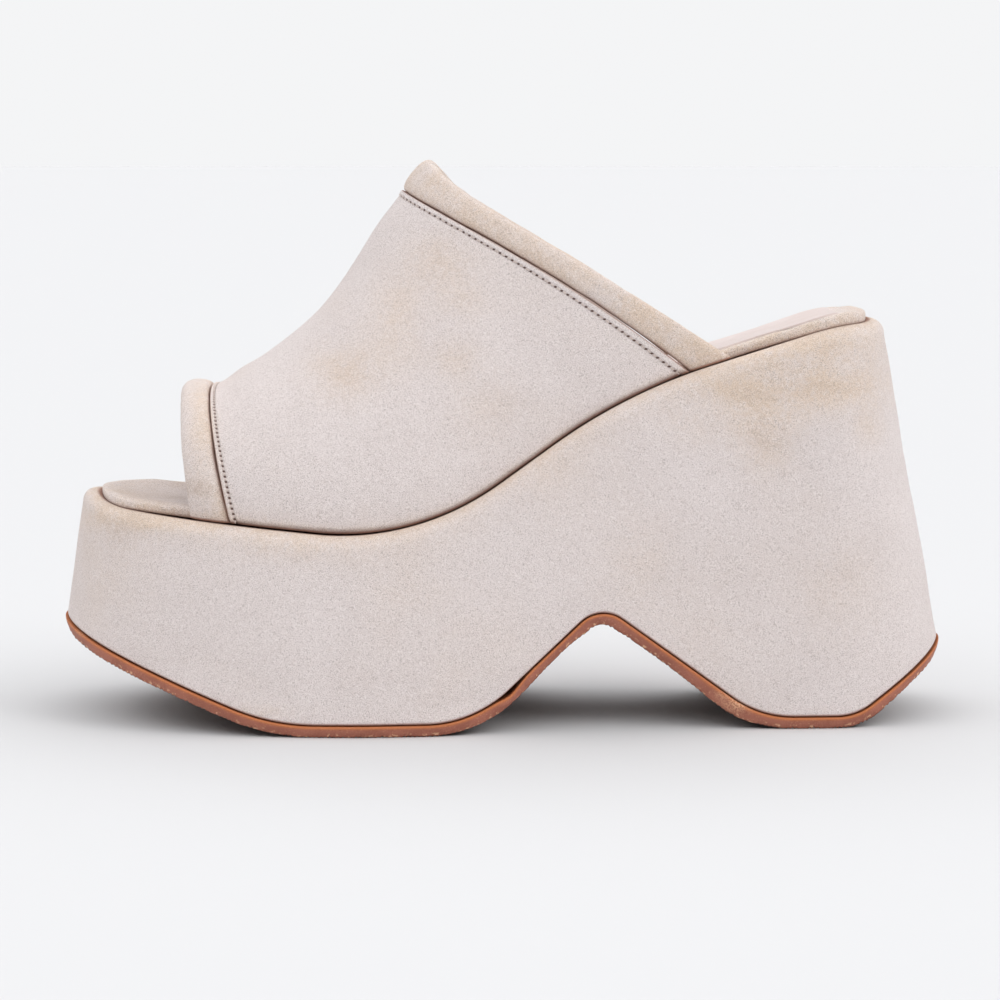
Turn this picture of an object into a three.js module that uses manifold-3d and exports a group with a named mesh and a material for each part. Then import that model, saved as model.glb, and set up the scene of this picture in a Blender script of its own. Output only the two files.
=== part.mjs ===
// A left platform mule: a suede-covered wedge platform on a thin tan outsole, a padded footbed with a smooth
// heel sock, and one wide vamp band that ends in a padded roll at the toe opening and another at the collar.
//
// Units are millimetres. +X points to the toe, +Y to the outer (lateral) side of the left foot, +Z up.
// The origin is on the floor under the middle of the outsole.

import * as THREE from "three";
import { mergeVertices } from "three/addons/utils/BufferGeometryUtils.js";
import Module from "manifold-3d";

// Overall sizes
const LENGTH = 272.6; // outsole, toe tip to heel back
const WIDTH = 103; // outsole, across the ball
const GAP = 0.3; // clearance between two pieces that touch

// Outsole
const OUTSOLE_THICKNESS = 3.4;
const OUTSOLE_OVERHANG = 0.6; // how far it stands out past the suede all round
const OUTSOLE_BEVEL = 1.2; // how much further in its lower edge is than its upper edge
const TOE_SPRING_ANGLE = 21.3; // degrees
const HEEL_CHAMFER_ANGLE = 35; // degrees, at the back of the heel
const NOTCH_HEIGHT = 34.9; // from the flats to the sharp corner of the notch under the arch
const TOE_SPRING_RADIUS = 70;
const NOTCH_FRONT_RADIUS = 36;
const NOTCH_RADIUS = 10;
const NOTCH_BACK_RADIUS = 32;
const HEEL_CHAMFER_RADIUS = 18;

// Platform
const BALL_SEAT = 59.6; // floor to the lowest point of the platform's top, under the ball
const HEEL_RISE = 61.5; // how much higher the heel seat is
const TOE_RISE = 6.8; // how much higher the top is where it turns up at the toe
const BALL_RADIUS = 82; // of the hollow in the top, under the ball
const WAIST_RADIUS = 172; // of the hump in the top, under the waist
const HEEL_SEAT_RADIUS = 60;
const TOE_CURL_RADIUS = 50;
const SIDE_LEAN = 5; // how far each side leans in from the flats to the top
const TOE_LEAN = 5.5; // how far the toe tip leans in from the outsole to the top
const HEEL_LEAN = 17.7;
const TOP_EDGE_RADIUS = 5;

// Footbed and heel sock
const FOOTBED_MARGIN = 4.5; // platform edge to footbed edge at the toe and heel
const FOOTBED_THICKNESS = 3.2; // at the rolled rim
const DISH_DEPTH = 1.5; // rim crest to the flat of the dish
const DISH_SLOPE = 13; // width of the slope from the crest down to the flat
const SOCK_THICKNESS = 1.2;
const SOCK_MARGIN = 5.2; // footbed edge to heel sock edge
const SOCK_LENGTH = 108; // along the shoe, from its back edge

// Upper
const COLLAR_HEIGHT = 111.6; // ball seat to the collar's peak
const WALL = 2.6; // suede, padding and lining
const UPPER_MARGIN = 5.5; // platform edge to the outside of the upper's foot
const SIDE_BULGE = 1.6; // how far the upper's sides stand out above their foot
const FOLD_WIDTH = 2; // the vamp's edge, folded under beside each roll
const FOLD_STEP = 0.4; // how much the folded edge stands up
const TOE_ROLL_WIDTH = 10.4;
const COLLAR_ROLL_WIDTH = 9.6;
const ROLL_THICKNESS = 6;
const ROLL_STANDS_OUT = 1.2; // how far a roll stands out past the vamp
const ROLL_FOOT_THICKNESS = 2.6; // where a roll is pinched between footbed and platform

const DEGREE = Math.PI / 180;
const suede = { color: 0xd8c8c4, roughness: 0.95, metalness: 0 };
const smoothLeather = { color: 0xe4d8d4, roughness: 0.6, metalness: 0 };
const tanRubber = { color: 0xb06a48, roughness: 0.7, metalness: 0 };

// Outline of the platform at the height of its flats. "at" is a share of the length from the toe, lateral and
// medial are shares of half the width, and lean is a share of SIDE_LEAN.
const OUTLINE = [
  { at: 0.0, lateral: -0.14, medial: -0.14, lean: 0 },
  { at: 0.02, lateral: 0.31, medial: -0.5, lean: 0.4 },
  { at: 0.06, lateral: 0.6, medial: -0.77, lean: 0.8 },
  { at: 0.12, lateral: 0.8, medial: -0.915, lean: 1 },
  { at: 0.2, lateral: 0.935, medial: -0.98, lean: 1 },
  { at: 0.27, lateral: 0.985, medial: -1, lean: 1 },
  { at: 0.34, lateral: 1, medial: -0.975, lean: 1.05 },
  { at: 0.42, lateral: 0.965, medial: -0.9, lean: 1.1 },
  { at: 0.5, lateral: 0.885, medial: -0.815, lean: 1.1 },
  { at: 0.6, lateral: 0.79, medial: -0.735, lean: 1 },
  { at: 0.7, lateral: 0.735, medial: -0.705, lean: 0.85 },
  { at: 0.8, lateral: 0.71, medial: -0.71, lean: 0.7 },
  { at: 0.87, lateral: 0.685, medial: -0.7, lean: 0.6 },
  { at: 0.93, lateral: 0.59, medial: -0.63, lean: 0.5 },
  { at: 0.97, lateral: 0.43, medial: -0.46, lean: 0.3 },
  { at: 1.0, lateral: -0.02, medial: -0.02, lean: 0 },
];

// Corners of the platform's underside between its two end slopes, from heel to toe. "at" is a share of the length
// from the toe, and notch a share of NOTCH_HEIGHT above the flats.
const UNDERSIDE = [
  { at: 0.894, notch: 0, radius: HEEL_CHAMFER_RADIUS },
  { at: 0.787, notch: 0, radius: NOTCH_BACK_RADIUS },
  { at: 0.6095, notch: 1, radius: NOTCH_RADIUS },
  { at: 0.471, notch: 0, radius: NOTCH_FRONT_RADIUS },
  { at: 0.249, notch: 0, radius: TOE_SPRING_RADIUS },
];

// Corners of the platform's top, from heel to toe. They stand above the ball seat by a share of HEEL_RISE and a
// share of TOE_RISE. The first and the last only give the end slopes.
const SEAT = [
  { at: 0.9589, heel: 1.034, toe: 0 },
  { at: 0.8665, heel: 1, toe: 0, radius: HEEL_SEAT_RADIUS },
  { at: 0.6376, heel: 0.676, toe: 0, radius: WAIST_RADIUS },
  { at: 0.4079, heel: -0.044, toe: 0, radius: BALL_RADIUS },
  { at: 0.0503, heel: 0, toe: 1, radius: TOE_CURL_RADIUS },
  { at: 0.0235, heel: 0, toe: 1.56 },
];

// Sections of the upper from the toe edge to the collar edge. u is the share of the way along the band. The feet
// and the ridge are shares of the length from the toe, height is a share of COLLAR_HEIGHT above the ball seat,
// side is the ridge's offset to the lateral side as a share of half the width, the fullnesses say how square the
// section is (2 is an ellipse), bow is how far the section bends back half way up, and dip how far next to the
// ridge, both shares of the length.
const UPPER = [
  {
    u: 0, lateralFoot: 0.1559, medialFoot: 0.1559, ridge: 0.139, height: 0.3765,
    side: -0.07, lateralFullness: 2.3, medialFullness: 2.6, bow: 0, dip: 0,
  },
  {
    u: 0.08, lateralFoot: 0.1985, medialFoot: 0.1985, ridge: 0.1696, height: 0.3728,
    side: -0.07, lateralFullness: 2.3, medialFullness: 2.6, bow: 0, dip: 0,
  },
  {
    u: 0.19, lateralFoot: 0.2569, medialFoot: 0.2569, ridge: 0.2065, height: 0.422,
    side: -0.075, lateralFullness: 2.25, medialFullness: 2.6, bow: 0, dip: 0,
  },
  {
    u: 0.315, lateralFoot: 0.3307, medialFoot: 0.3307, ridge: 0.2466, height: 0.483,
    side: -0.08, lateralFullness: 2.2, medialFullness: 2.55, bow: 0, dip: 0,
  },
  {
    u: 0.45, lateralFoot: 0.4155, medialFoot: 0.4155, ridge: 0.2888, height: 0.577,
    side: -0.085, lateralFullness: 2.2, medialFullness: 2.5, bow: 0.001, dip: 0,
  },
  {
    u: 0.585, lateralFoot: 0.5004, medialFoot: 0.5004, ridge: 0.3236, height: 0.678,
    side: -0.085, lateralFullness: 2.2, medialFullness: 2.45, bow: 0.003, dip: 0,
  },
  {
    u: 0.74, lateralFoot: 0.597, medialFoot: 0.595, ridge: 0.3572, height: 0.805,
    side: -0.08, lateralFullness: 2.25, medialFullness: 2.4, bow: 0.006, dip: 0,
  },
  {
    u: 0.927, lateralFoot: 0.7124, medialFoot: 0.705, ridge: 0.3908, height: 0.917,
    side: -0.07, lateralFullness: 2.3, medialFullness: 2.4, bow: 0.0095, dip: -0.002,
  },
  {
    u: 1, lateralFoot: 0.7543, medialFoot: 0.745, ridge: 0.4186, height: 1,
    side: -0.06, lateralFullness: 2.3, medialFullness: 2.4, bow: 0, dip: -0.009,
  },
];

// How finely the surfaces are divided
const END_STATIONS = 34;
const ARC_STEPS = 6;
const FILLET_STEPS = 4;
const BAND_STEPS = 16;
const ARCH_STEPS = 34;
const ROLL_SIDES = 14;

const xAt = (share) => LENGTH / 2 - share * LENGTH;

// A smooth curve through table rows that never swings past them. key gives a row's place, column its value.
function smoothColumn(rows, key, column) {
  const place = rows.map(key);
  const value = rows.map((row) => row[column]);
  const rise = place.slice(1).map((p, i) => (value[i + 1] - value[i]) / (p - place[i]));
  const slope = place.map((_, i) => {
    if (i === 0) return rise[0];
    if (i === place.length - 1) return rise[i - 1];
    const [before, after] = [rise[i - 1], rise[i]];
    if (before * after <= 0) return 0;
    return (2 * before * after) / (before + after);
  });
  return (p) => {
    let i = 0;
    while (i < place.length - 2 && p > place[i + 1]) i++;
    const span = place[i + 1] - place[i];
    const t = THREE.MathUtils.clamp((p - place[i]) / span, 0, 1);
    const keep = value[i] * (1 + 2 * t) * (1 - t) ** 2 + value[i + 1] * t * t * (3 - 2 * t);
    return keep + span * (slope[i] * t * (1 - t) ** 2 + slope[i + 1] * t * t * (t - 1));
  };
}

// A side profile of straight lines with rounded corners. Corners run from heel to toe as { x, z, radius }.
// It gives the height and the slope at any x, and the places along x where the rounds need stations.
function roundedProfile(corners) {
  const rounds = corners.slice(1, -1).map((corner, i) => {
    const [before, after] = [corners[i], corners[i + 2]];
    const angleIn = Math.atan2(corner.z - before.z, corner.x - before.x);
    const angleOut = Math.atan2(after.z - corner.z, after.x - corner.x);
    const bend = Math.sign(angleOut - angleIn);
    const reach = corner.radius * Math.tan(Math.abs(angleOut - angleIn) / 2);
    const start = { x: corner.x - reach * Math.cos(angleIn), z: corner.z - reach * Math.sin(angleIn) };
    const centre = {
      x: start.x - bend * corner.radius * Math.sin(angleIn),
      z: start.z + bend * corner.radius * Math.cos(angleIn),
    };
    return { ...corner, bend, angleIn, angleOut, start, centre, end: corner.x + reach * Math.cos(angleOut) };
  });
  const roundAt = (x) => rounds.find((r) => x >= r.start.x && x <= r.end);
  const lineAt = (x) => {
    const i = corners.findIndex((c, k) => k === corners.length - 2 || x < corners[k + 1].x);
    return { from: corners[i], slope: (corners[i + 1].z - corners[i].z) / (corners[i + 1].x - corners[i].x) };
  };
  return {
    z(x) {
      const round = roundAt(x);
      if (round) return round.centre.z - round.bend * Math.sqrt(round.radius ** 2 - (x - round.centre.x) ** 2);
      const { from, slope } = lineAt(x);
      return from.z + slope * (x - from.x);
    },
    slope(x) {
      const round = roundAt(x);
      if (!round) return lineAt(x).slope;
      return (round.bend * (x - round.centre.x)) / Math.sqrt(round.radius ** 2 - (x - round.centre.x) ** 2);
    },
    stations: rounds.flatMap((r) =>
      Array.from({ length: ARC_STEPS + 1 }, (_, k) => {
        const angle = r.angleIn + ((r.angleOut - r.angleIn) * k) / ARC_STEPS;
        return r.centre.x + r.bend * r.radius * Math.sin(angle);
      }),
    ),
  };
}

// The platform's underside: heel chamfer, heel flat, notch, forefoot flat and toe spring
const flatZ = OUTSOLE_THICKNESS + GAP;
const lowCorners = UNDERSIDE.map(({ at, notch, radius }) => ({ x: xAt(at), z: flatZ + notch * NOTCH_HEIGHT, radius }));
const chamferX = lowCorners.at(0).x;
const springX = lowCorners.at(-1).x;
const underside = roundedProfile([
  { x: xAt(1), z: flatZ + Math.tan(HEEL_CHAMFER_ANGLE * DEGREE) * (chamferX - xAt(1)) },
  ...lowCorners,
  { x: xAt(0), z: flatZ + Math.tan(TOE_SPRING_ANGLE * DEGREE) * (xAt(0) - springX) },
]);

// The platform's top: heel seat, wedge slope and forefoot, up to the toe
const seat = roundedProfile(
  SEAT.map(({ at, heel, toe, radius }) => ({ x: xAt(at), z: BALL_SEAT + heel * HEEL_RISE + toe * TOE_RISE, radius })),
);

// Outlines are read by an angle that packs stations close together at the round toe and heel
const angleOf = (share) => Math.acos(1 - 2 * share);
const outlineColumn = (column) => {
  const read = smoothColumn(OUTLINE, (row) => angleOf(row.at), column);
  return (share) => read(angleOf(share));
};
const outline = {
  lateral: outlineColumn("lateral"),
  medial: outlineColumn("medial"),
  lean: outlineColumn("lean"),
};
const platformHalfWidth = WIDTH / 2 - OUTSOLE_OVERHANG;

// The toe and heel lean in, so the outline reaches further out at the height of the flats than at its raised tips
const tip = LENGTH / 2 - OUTSOLE_OVERHANG;
function reachAtFlats(footX, topX) {
  const [footZ, topZ] = [underside.z(footX), seat.z(topX)];
  return footX + ((footX - topX) * (footZ - flatZ)) / (topZ - footZ);
}
const toeReach = reachAtFlats(tip, tip - TOE_LEAN);
const heelReach = reachAtFlats(-tip, HEEL_LEAN - tip);
const shareOf = (x) => (toeReach - x) / (toeReach - heelReach);

// Shares of the length, from toe to heel, at which every ring has a point on each side
const CLOSEST_STATIONS = 0.7;
const stations = [
  ...Array.from({ length: END_STATIONS + 1 }, (_, i) => (1 - Math.cos((Math.PI * i) / END_STATIONS)) / 2),
  ...[...underside.stations, ...seat.stations].map(shareOf),
]
  .filter((share) => share >= 0 && share <= 1)
  .sort((a, b) => a - b)
  .filter((share, i, all) => i === 0 || share === 1 || (share - all[i - 1]) * LENGTH > CLOSEST_STATIONS);

// How far the top has moved along X at a station: nothing in the middle, and the whole lean at the tips
const LEAN_STARTS = 0.22; // share of the length either side of the middle
function endLean(share) {
  const past = THREE.MathUtils.clamp((Math.abs(share - 0.5) - LEAN_STARTS) / (0.5 - LEAN_STARTS), 0, 1) ** 2;
  return past * (share < 0.5 ? tip - TOE_LEAN - toeReach : HEEL_LEAN - tip - heelReach);
}

// One point on the wall at a station and side, where f is 0 at the height of the flats and 1 at the top
function wallPoint(share, side, f) {
  const x = THREE.MathUtils.lerp(toeReach, heelReach, share);
  const y = outline[side](share) * platformHalfWidth;
  const inward = side === "lateral" ? -1 : 1;
  const topX = x + endLean(share);
  return new THREE.Vector3(
    x + (topX - x) * f,
    y + inward * outline.lean(share) * SIDE_LEAN * f,
    flatZ + (seat.z(topX) - flatZ) * f,
  );
}

// The wall point that lies on the underside, found by stepping f until the heights agree
const CUT_ROUNDS = 12;
function wallFoot(share, side) {
  const topZ = wallPoint(share, side, 1).z;
  let f = 0;
  for (let round = 0; round < CUT_ROUNDS; round++) {
    f = (underside.z(wallPoint(share, side, f).x) - flatZ) / (topZ - flatZ);
  }
  return wallPoint(share, side, f);
}

// A ring is the points of one closed outline: toe tip, down the lateral side to the heel tip and back
const ring = (pointAt) => ({
  lateral: stations.map((share) => pointAt(share, "lateral")),
  medial: stations.map((share) => pointAt(share, "medial")),
});
const loopOf = ({ lateral, medial }) => [...lateral, ...medial.slice(1, -1).reverse()];

// A ring moved inwards in plan by distance(share). lift gives each moved point its height.
function insetRing(from, distance, lift) {
  const loop = loopOf(from);
  const last = stations.length - 1;
  const move = (side) => (share, i) => {
    const k = side === "lateral" || i === 0 || i === last ? i : loop.length - i;
    const before = loop[(k + loop.length - 1) % loop.length];
    const after = loop[(k + 1) % loop.length];
    const inward = new THREE.Vector2(before.y - after.y, after.x - before.x).normalize();
    const d = distance(share);
    const p = loop[k];
    const x = p.x + inward.x * d;
    return new THREE.Vector3(x, p.y + inward.y * d, lift(x, p));
  };
  return { lateral: stations.map(move("lateral")), medial: stations.map(move("medial")) };
}

// A closed solid from a list of triangles, turned to face outwards
function solid(triangles) {
  const used = triangles.filter(([a, b, c]) => !a.equals(b) && !b.equals(c) && !c.equals(a));
  const volume = used.reduce((sum, [a, b, c]) => sum + a.dot(new THREE.Vector3().crossVectors(b, c)), 0);
  const faces = volume < 0 ? used.map(([a, b, c]) => [a, c, b]) : used;
  const geometry = new THREE.BufferGeometry().setFromPoints(faces.flat());
  const merged = mergeVertices(geometry, 1e-3);
  merged.computeVertexNormals();
  return merged;
}

const quad = (a, b, c, d) => [
  [a, b, c],
  [a, c, d],
];

// Triangles between two closed loops with as many points each
function band(lower, upper) {
  return lower.flatMap((p, i) => {
    const next = (i + 1) % lower.length;
    return quad(p, lower[next], upper[next], upper[i]);
  });
}

// Triangles that close a ring, in strips from the lateral to the medial side
function ringCap({ lateral, medial }) {
  return lateral.slice(1).flatMap((p, i) => quad(lateral[i], p, medial[i + 1], medial[i]));
}

// A closed solid from rings stacked from bottom to top
function ringSolid(rings) {
  const walls = rings.slice(1).flatMap((upper, i) => band(loopOf(rings[i]), loopOf(upper)));
  const floor = ringCap(rings[0]).map(([a, b, c]) => [a, c, b]);
  return solid([...floor, ...walls, ...ringCap(rings[rings.length - 1])]);
}

const platformFoot = ring(wallFoot);
const topOutline = ring((share, side) => wallPoint(share, side, 1));

function platform() {
  const edge = Array.from({ length: FILLET_STEPS + 1 }, (_, k) => {
    const angle = (k / FILLET_STEPS) * 90 * DEGREE;
    return insetRing(
      topOutline,
      () => TOP_EDGE_RADIUS * (1 - Math.cos(angle)),
      (x) => seat.z(x) - TOP_EDGE_RADIUS * (1 - Math.sin(angle)),
    );
  });
  return ringSolid([platformFoot, ...edge]);
}

// The outsole follows the underside at a constant thickness, and its edge is bevelled
const SQUARE_FROM_TIP = 20; // this far from a tip the outsole is measured square to the underside
function outsole() {
  const follow = (x, p) => p.z + underside.slope(p.x) * (x - p.x);
  const wide = insetRing(platformFoot, () => -OUTSOLE_OVERHANG, follow);
  const narrow = insetRing(wide, () => OUTSOLE_BEVEL, follow);
  const drop = (from, depth) => {
    // Square to the underside, so that its rounds stay round, but straight down at the very tips
    const lower = (p) => {
      const slope = underside.slope(p.x);
      const length = Math.hypot(1, slope);
      const square = THREE.MathUtils.clamp((LENGTH / 2 - Math.abs(p.x)) / SQUARE_FROM_TIP, 0, 1);
      const shift = (square * slope * depth) / length;
      return new THREE.Vector3(p.x + shift, p.y, p.z + slope * shift - depth * length);
    };
    return { lateral: from.lateral.map(lower), medial: from.medial.map(lower) };
  };
  return ringSolid([drop(narrow, GAP + OUTSOLE_THICKNESS), drop(wide, GAP)]);
}

// Between the ends of the upper the footbed is narrower, to leave room for the upper's wall
const UPPER_ROOM_EASE = 0.12; // share of the length over which the footbed narrows
const toeEdge = UPPER[0].lateralFoot;
const collarEdge = UPPER[UPPER.length - 1].lateralFoot;
const footbedEdgeAt = (share) => {
  const narrowed =
    THREE.MathUtils.smoothstep(share, toeEdge - UPPER_ROOM_EASE, toeEdge) *
    (1 - THREE.MathUtils.smoothstep(share, collarEdge, collarEdge + UPPER_ROOM_EASE));
  return FOOTBED_MARGIN + narrowed * (UPPER_MARGIN + WALL + GAP - FOOTBED_MARGIN);
};

// Height of the footbed's top above its underside, at a distance from its edge
const rimRadius = FOOTBED_THICKNESS / 2;
function footbedTop(fromEdge) {
  const t = THREE.MathUtils.clamp((fromEdge - rimRadius) / DISH_SLOPE, 0, 1);
  return FOOTBED_THICKNESS - (DISH_DEPTH * (1 - Math.cos(Math.PI * t))) / 2;
}

const footbedRing = (fromEdge, height) =>
  insetRing(
    topOutline,
    (share) => footbedEdgeAt(share) + fromEdge,
    (x) => seat.z(x) + GAP + height,
  );

// The footbed has a rolled rim, half a circle in section, and a shallow dish inside it
const RIM_STEPS = 5;
const DISH_STEPS = 4;
function footbed() {
  const rim = Array.from({ length: RIM_STEPS + 1 }, (_, k) => {
    const angle = (k / RIM_STEPS) * 180 * DEGREE;
    return footbedRing(rimRadius * (1 - Math.sin(angle)), rimRadius * (1 - Math.cos(angle)));
  });
  const dish = Array.from({ length: DISH_STEPS }, (_, k) => {
    const fromEdge = rimRadius + (DISH_SLOPE * (k + 1)) / DISH_STEPS;
    return footbedRing(fromEdge, footbedTop(fromEdge));
  });
  return ringSolid([...rim, ...dish]);
}

// The heel sock lines the back of the dish, and its front edge is cut straight across
const SOCK_STEPS = 2;
async function heelSock() {
  const reach = rimRadius + DISH_SLOPE - SOCK_MARGIN;
  const rings = (height) =>
    Array.from({ length: SOCK_STEPS + 1 }, (_, k) => {
      const fromEdge = SOCK_MARGIN + (reach * k) / SOCK_STEPS;
      return footbedRing(fromEdge, footbedTop(fromEdge) + height);
    });
  const whole = ringSolid([...rings(GAP).reverse(), ...rings(GAP + SOCK_THICKNESS)]);
  whole.computeBoundingBox();
  const back = whole.boundingBox.min.x;
  const keep = new THREE.BoxGeometry(2 * SOCK_LENGTH, WIDTH, 2 * (BALL_SEAT + HEEL_RISE));
  keep.translate(back, 0, BALL_SEAT);
  return intersect(whole, keep);
}

// Manifold solids take and give back plain triangle meshes
const wasm = await Module();
wasm.setup();

function toManifold(geometry) {
  const bare = geometry.clone();
  bare.deleteAttribute("normal");
  bare.deleteAttribute("uv");
  const merged = mergeVertices(bare, 1e-3);
  return new wasm.Manifold(
    new wasm.Mesh({
      numProp: 3,
      vertProperties: merged.attributes.position.array,
      triVerts: new Uint32Array(merged.index.array),
    }),
  );
}

function intersect(a, b) {
  const mesh = toManifold(a).intersect(toManifold(b)).getMesh();
  const geometry = new THREE.BufferGeometry();
  geometry.setAttribute("position", new THREE.BufferAttribute(new Float32Array(mesh.vertProperties), 3));
  geometry.setIndex(new THREE.BufferAttribute(new Uint32Array(mesh.triVerts), 1));
  geometry.computeVertexNormals();
  return geometry;
}

// The outer side of the upper's foot, just inside the rounded edge of the platform
const upperFoot = insetRing(
  topOutline,
  () => UPPER_MARGIN,
  (x) => seat.z(x) + GAP,
);

// Where a ring crosses a given x on one side
function ringSideAt(points, x) {
  const i = points.findIndex((p, k) => k > 0 && p.x <= x);
  const [a, b] = [points[i - 1], points[i]];
  return a.y + ((b.y - a.y) * (a.x - x)) / (a.x - b.x);
}

const section = Object.fromEntries(
  Object.keys(UPPER[0]).map((column) => [column, smoothColumn(UPPER, (row) => row.u, column)]),
);

// The outer face of the upper. u runs from the toe edge (0) to the collar edge (1), and v from the lateral foot
// (1) over the ridge (0) to the medial foot (-1). Each half of a section is a quarter of a superellipse, whose
// chord leans from the foot to the ridge.
const DIP_AT = 0.82; // share of the way up where the dip is deepest
function upperSurface(u, v) {
  const side = v >= 0 ? "lateral" : "medial";
  const outward = v >= 0 ? 1 : -1;
  const angle = (Math.abs(v) * Math.PI) / 2;
  const power = section[`${side}Fullness`](u);
  const size = (Math.sin(angle) ** power + Math.cos(angle) ** power) ** (1 / power);
  const across = Math.sin(angle) / size;
  const up = Math.cos(angle) / size;
  const foot = { x: xAt(section[`${side}Foot`](u)) };
  foot.y = ringSideAt(upperFoot[side], foot.x);
  foot.z = seat.z(foot.x) + GAP;
  const ridge = {
    x: xAt(section.ridge(u)),
    y: (section.side(u) * WIDTH) / 2,
    z: BALL_SEAT + COLLAR_HEIGHT * section.height(u),
  };
  const chord = new THREE.Vector2(ridge.x - foot.x, ridge.z - foot.z).normalize();
  const middle = 4 * up * (1 - up);
  const nearRidge = (up / DIP_AT) ** (DIP_AT / (1 - DIP_AT)) * ((1 - up) / (1 - DIP_AT));
  const bow = (section.bow(u) * middle + section.dip(u) * nearRidge) * LENGTH;
  return new THREE.Vector3(
    foot.x + (ridge.x - foot.x) * up - chord.y * bow,
    ridge.y + (foot.y - ridge.y) * across + outward * SIDE_BULGE * middle * across,
    foot.z + (ridge.z - foot.z) * up + chord.x * bow,
  );
}

// A point that stands out from the outer face by a distance along the face's normal
const NUDGE = 1e-3;
function upperPoint(u, v, out) {
  const here = upperSurface(u, v);
  if (out === 0) return here;
  const alongU = upperSurface(u + NUDGE, v).sub(upperSurface(u - NUDGE, v));
  const alongV = upperSurface(u, Math.min(v + NUDGE, 1)).sub(upperSurface(u, Math.max(v - NUDGE, -1)));
  const normal = new THREE.Vector3().crossVectors(alongV, alongU).normalize();
  here.addScaledVector(normal, out);
  if (Math.abs(v) === 1) here.z = seat.z(here.x) + GAP;
  return here;
}

// Arch positions from the lateral foot to the medial foot
const arch = Array.from({ length: ARCH_STEPS + 1 }, (_, j) => 1 - (2 * j) / ARCH_STEPS);

// A piece of the upper: a closed loop of { u, out } at each arch position, closed off at both feet. The loop's
// first half runs along the outer face and its second half comes back along the inner face.
function upperPiece(loopAt) {
  const loops = arch.map((v) => loopAt(v).map(({ u, out }) => upperPoint(u, v, out)));
  const walls = loops.slice(1).flatMap((loop, j) => band(loops[j], loop));
  const foot = (loop) => {
    const half = loop.length / 2;
    const pairs = loop.slice(0, half).map((p, k) => [p, loop[loop.length - 1 - k]]);
    return pairs.slice(1).flatMap(([outer, inner], k) => quad(pairs[k][0], outer, inner, pairs[k][1]));
  };
  const firstFoot = foot(loops[0]).map(([a, b, c]) => [a, c, b]);
  return solid([...walls, ...firstFoot, ...foot(loops[loops.length - 1])]);
}

// Length of the band from toe edge to collar edge, half way up its lateral side, which turns widths into u
const BAND_SAMPLES = 60;
const bandLength = Array.from({ length: BAND_SAMPLES }, (_, i) =>
  upperSurface(i / BAND_SAMPLES, 0.5).distanceTo(upperSurface((i + 1) / BAND_SAMPLES, 0.5)),
).reduce((sum, step) => sum + step, 0);
const toeSeam = TOE_ROLL_WIDTH / bandLength;
const collarSeam = 1 - COLLAR_ROLL_WIDTH / bandLength;
const seamGap = GAP / bandLength;

// The vamp lies between the two rolls. Its wall steps up where each edge is folded under.
function vamp() {
  const [from, to] = [toeSeam + seamGap / 2, collarSeam - seamGap / 2];
  const fold = FOLD_WIDTH / bandLength;
  const slope = FOLD_STEP / bandLength;
  const [flatFrom, flatTo] = [from + fold + slope, to - fold - slope];
  const flat = Array.from({ length: BAND_STEPS + 1 }, (_, i) => ({
    u: THREE.MathUtils.lerp(flatFrom, flatTo, i / BAND_STEPS),
    out: 0,
  }));
  const outer = [
    { u: from, out: FOLD_STEP },
    { u: from + fold, out: FOLD_STEP },
    ...flat,
    { u: to - fold, out: FOLD_STEP },
    { u: to, out: FOLD_STEP },
  ];
  const inner = outer.map(({ u }) => ({ u, out: -WALL })).reverse();
  return upperPiece((v) => [...outer.map(({ u, out }) => ({ u, out: out * foldAt(v) })), ...inner]);
}
// The fold flattens out where the vamp goes down into its seams with the platform
const FOLD_FADE_POWER = 20;
const foldAt = (v) => 1 - Math.abs(v) ** FOLD_FADE_POWER;

// A padded roll along one edge of the vamp, an upright oval in section that thins where it is pinched at its feet
const PINCH_POWER = 10;
function roll(from, to) {
  const middle = (from + to) / 2;
  return upperPiece((v) => {
    const pinch = Math.abs(v) ** PINCH_POWER;
    const thickness = ROLL_THICKNESS + (ROLL_FOOT_THICKNESS - ROLL_THICKNESS) * pinch;
    const standsOut = ROLL_STANDS_OUT * (1 - pinch);
    return Array.from({ length: ROLL_SIDES }, (_, k) => {
      const angle = ((k + 0.5) / ROLL_SIDES) * 360 * DEGREE;
      return {
        u: middle - ((to - from) / 2) * Math.cos(angle),
        out: standsOut - thickness / 2 + (thickness / 2) * Math.sin(angle),
      };
    });
  });
}

function piece(name, geometry, finish) {
  const mesh = new THREE.Mesh(geometry, new THREE.MeshStandardMaterial(finish));
  mesh.name = name;
  return mesh;
}

const shoe = new THREE.Group();
shoe.add(
  piece("outsole", outsole(), tanRubber),
  piece("platform", platform(), suede),
  piece("footbed", footbed(), suede),
  piece("heel_sock", await heelSock(), smoothLeather),
  piece("vamp", vamp(), suede),
  piece("toe_roll", roll(0, toeSeam - seamGap / 2), suede),
  piece("collar_roll", roll(collarSeam + seamGap / 2, 1), suede),
);

export default shoe;
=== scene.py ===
# The looks of a left platform mule in pale suede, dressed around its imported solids.
# Shapes are worked out in millimetres and become metres when their meshes are made.
import math

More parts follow.
